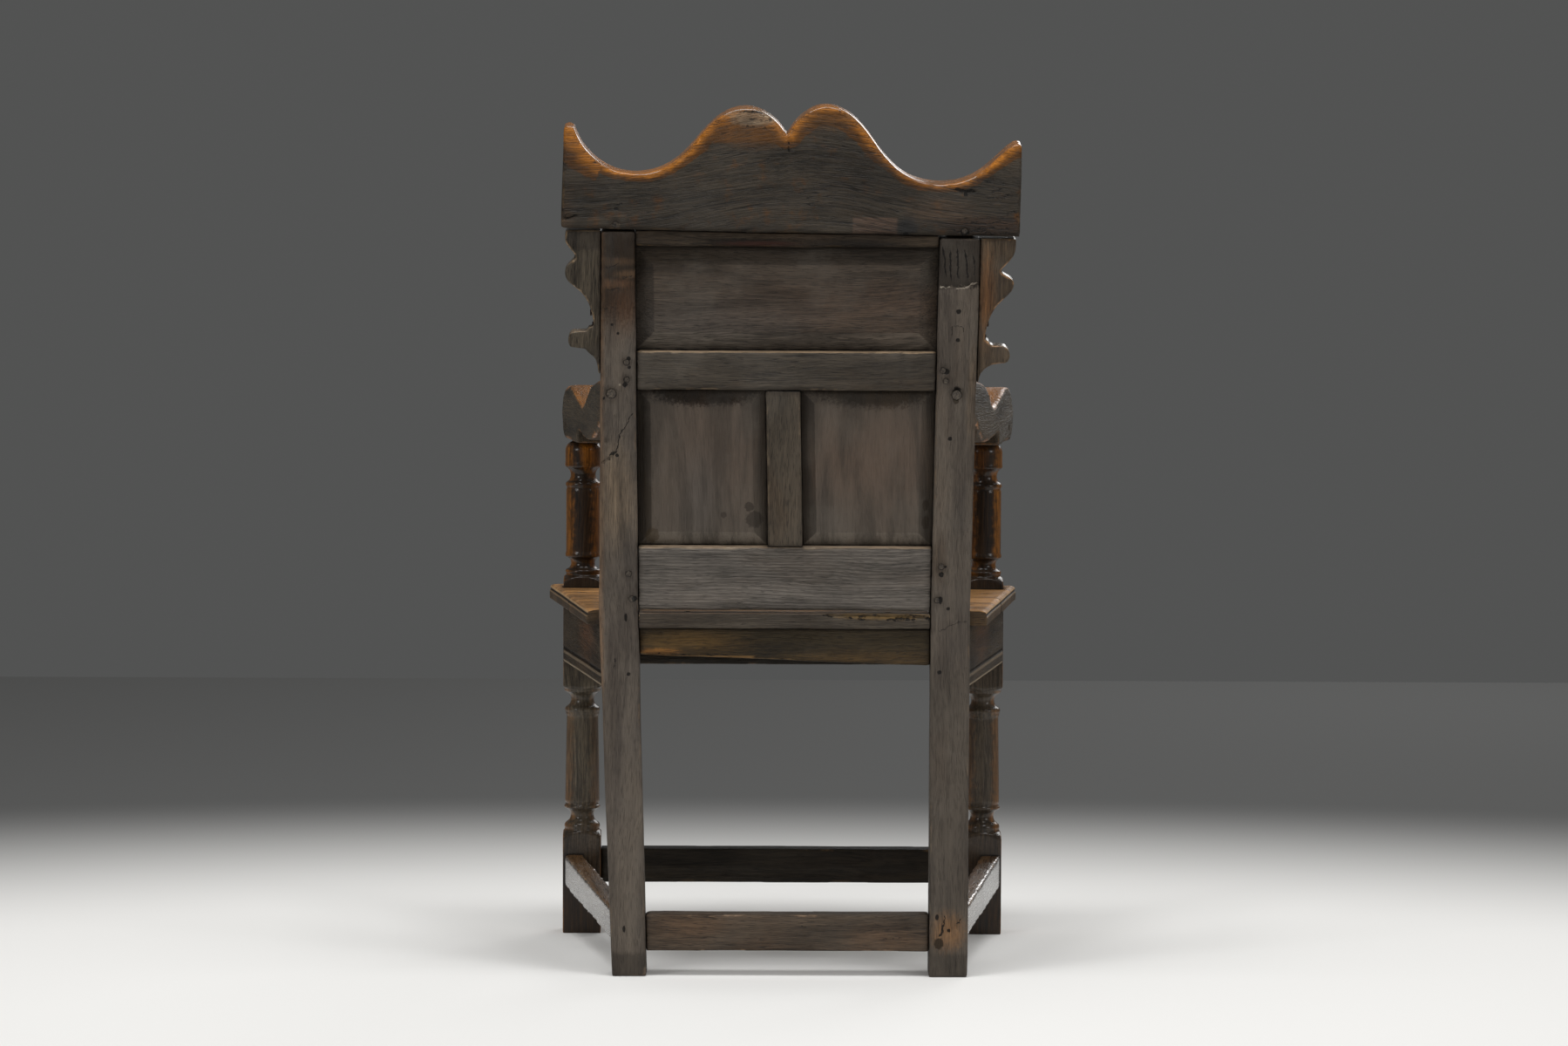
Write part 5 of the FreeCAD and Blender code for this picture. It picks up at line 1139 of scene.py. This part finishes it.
# %% Pegs and nails
def small_finish(name, deep, pale, scale, rough, metal=None, marks=()):
    """A finish for pegs and nails, mottled at one scale."""
    material, tree, skin, place = blank(name)
    mottle = fade(tree, cloud(tree, place, scale, 4.0, 0.6), 0.38, 0.64)
    pits = fade(tree, cloud(tree, place, scale * 3, 1.0), 0.6, 0.7)
    colour = mix(tree, mottle, paint(*deep), paint(*pale))
    colour = mix(tree, times(tree, pits, 0.7), colour, paint(*SOOT))
    ragged = cloud(tree, place, 260.0, 3.0, 0.7)
    for draw, tint, strength, _ in marks:
        mask = draw(tree, place, ragged, 0.0)
        colour = mix(tree, times(tree, mask, strength), colour, tint)
    tree.links.new(colour, skin.inputs["Base Color"])
    tree.links.new(fade(tree, mottle, 0.0, 1.0, *rough), skin.inputs["Roughness"])
    if metal:
        tree.links.new(fade(tree, mottle, 0.0, 1.0, *metal), skin.inputs["Metallic"])
    stand_out(tree, skin, minus(tree, mottle, pits), 0.0005)
    return material


dress(small_finish("oak_pegs", (58, 50, 42), (92, 82, 70), 420.0, (0.45, 0.65), marks=[
    hole(on_back(0.1978, 0.0184), 0.0036, (1, 0.3, 1)),
    hole(on_back(-0.1985, 0.0518), 0.0034, (1, 0.3, 1)),
    hole(on_back(-0.1977, 0.0184), 0.0028, (1, 0.3, 0.7)),
]), "back_frame_pegs", "arm_plugs", "arm_post_pegs", "stretcher_pegs", "seat_rail_pegs")
dress(small_finish("dark_pegs", (34, 28, 22), (74, 62, 48), 420.0, (0.4, 0.6)),
      "crest_pegs", "seat_board_pegs")
dress(small_finish("rusted_iron", (34, 30, 27), (84, 52, 34), 600.0, (0.45, 0.8), (0.8, 0.1)),
      "ear_bracket_nails")

# %% [markdown]
# ## Floor, backdrop and light
#
# The floor is a pale sheet around the chair. Further out its colour fades to the grey of the wall,
# a painted falloff of light that stands for lamps that don't reach so far, and its matt paint has
# no gloss, so no edge shows from any side. The wall itself is the world's own grey. Light Path shows
# that grey to the camera, to reflections and through glass only, and the light that falls on the
# chair comes from a soft even world and large lamps.

# %% Floor
HALF_FLOOR = 3.8
floor_mesh = bpy.data.meshes.new("floor")
sheet = bmesh.new()
bmesh.ops.create_grid(sheet, x_segments=1, y_segments=1, size=HALF_FLOOR)
sheet.to_mesh(floor_mesh)
sheet.free()
floor = bpy.data.objects.new("floor", floor_mesh)
bpy.context.scene.collection.objects.link(floor)
floor_paint, floor_tree, floor_skin, on_floor = blank("floor_paint")
# painted light: the floor's colour is pale near the chair and grey further out, a painted falloff of
# the lamps
on_floor = vector_calc(floor_tree, "MULTIPLY", on_floor, (0.7, 1, 1))
far = vector_calc(floor_tree, "DISTANCE", on_floor, (0, 0.35, 0), result="Value")
far = fade(floor_tree, far, 0.85, 2.2)
floor_colour_painted_falloff = mix(floor_tree, far, (0.82, 0.815, 0.8, 1), (0.115, 0.116, 0.115, 1))
floor_tree.links.new(floor_colour_painted_falloff, floor_skin.inputs["Base Color"])
floor_skin.inputs["Roughness"].default_value = 0.7
floor_skin.inputs["Specular IOR Level"].default_value = 0.0
floor.data.materials.append(floor_paint)
print("floor is", 2 * HALF_FLOOR, "m wide")

# %% World
world = bpy.data.worlds.new("studio")
bpy.context.scene.world = world
world.use_nodes = True
sky = world.node_tree
even_light = sky.nodes["Background"]
even_light.inputs["Color"].default_value = (1.0, 0.99, 0.97, 1)
even_light.inputs["Strength"].default_value = 0.42
wall = sky.nodes.new("ShaderNodeBackground")
wall.inputs["Color"].default_value = (0.085, 0.086, 0.085, 1)
wall.inputs["Strength"].default_value = 1.0
ray = sky.nodes.new("ShaderNodeLightPath")
seen = calc(sky, "MAXIMUM", ray.outputs["Is Camera Ray"], ray.outputs["Is Glossy Ray"])
seen = calc(sky, "MAXIMUM", seen, ray.outputs["Is Transmission Ray"])
choose = sky.nodes.new("ShaderNodeMixShader")
sky.links.new(seen, choose.inputs[0])
sky.links.new(even_light.outputs[0], choose.inputs[1])
sky.links.new(wall.outputs[0], choose.inputs[2])
sky.links.new(choose.outputs[0], sky.nodes["World Output"].inputs["Surface"])


# %% Lamps
def softbox(name, place, aim, size, power):
    """A large rectangular lamp that faces a point."""
    lamp = bpy.data.lights.new(name, "AREA")
    lamp.shape = "RECTANGLE"
    lamp.size = size[0]
    lamp.size_y = size[1]
    lamp.energy = power
    holder = bpy.data.objects.new(name, lamp)
    bpy.context.scene.collection.objects.link(holder)
    holder.location = place
    holder.rotation_euler = (Vector(aim) - Vector(place)).to_track_quat("-Z", "Y").to_euler()
    print(name, "gives", power, "W")


softbox("top_box", (0, 0.9, 3.2), (0, 0, 0.3), (2.4, 1.0), 60)
softbox("left_box", (3.9, 3.6, 2.2), (0, 0.2, 0.6), (1.6, 1.6), 62)
softbox("right_box", (-3.9, 3.6, 2.2), (0, 0.2, 0.6), (1.6, 1.6), 50)
softbox("front_box", (-1.8, -4.2, 2.4), (0, 0, 0.6), (2.0, 1.6), 45)
bpy.context.scene.view_settings.view_transform = "Standard"
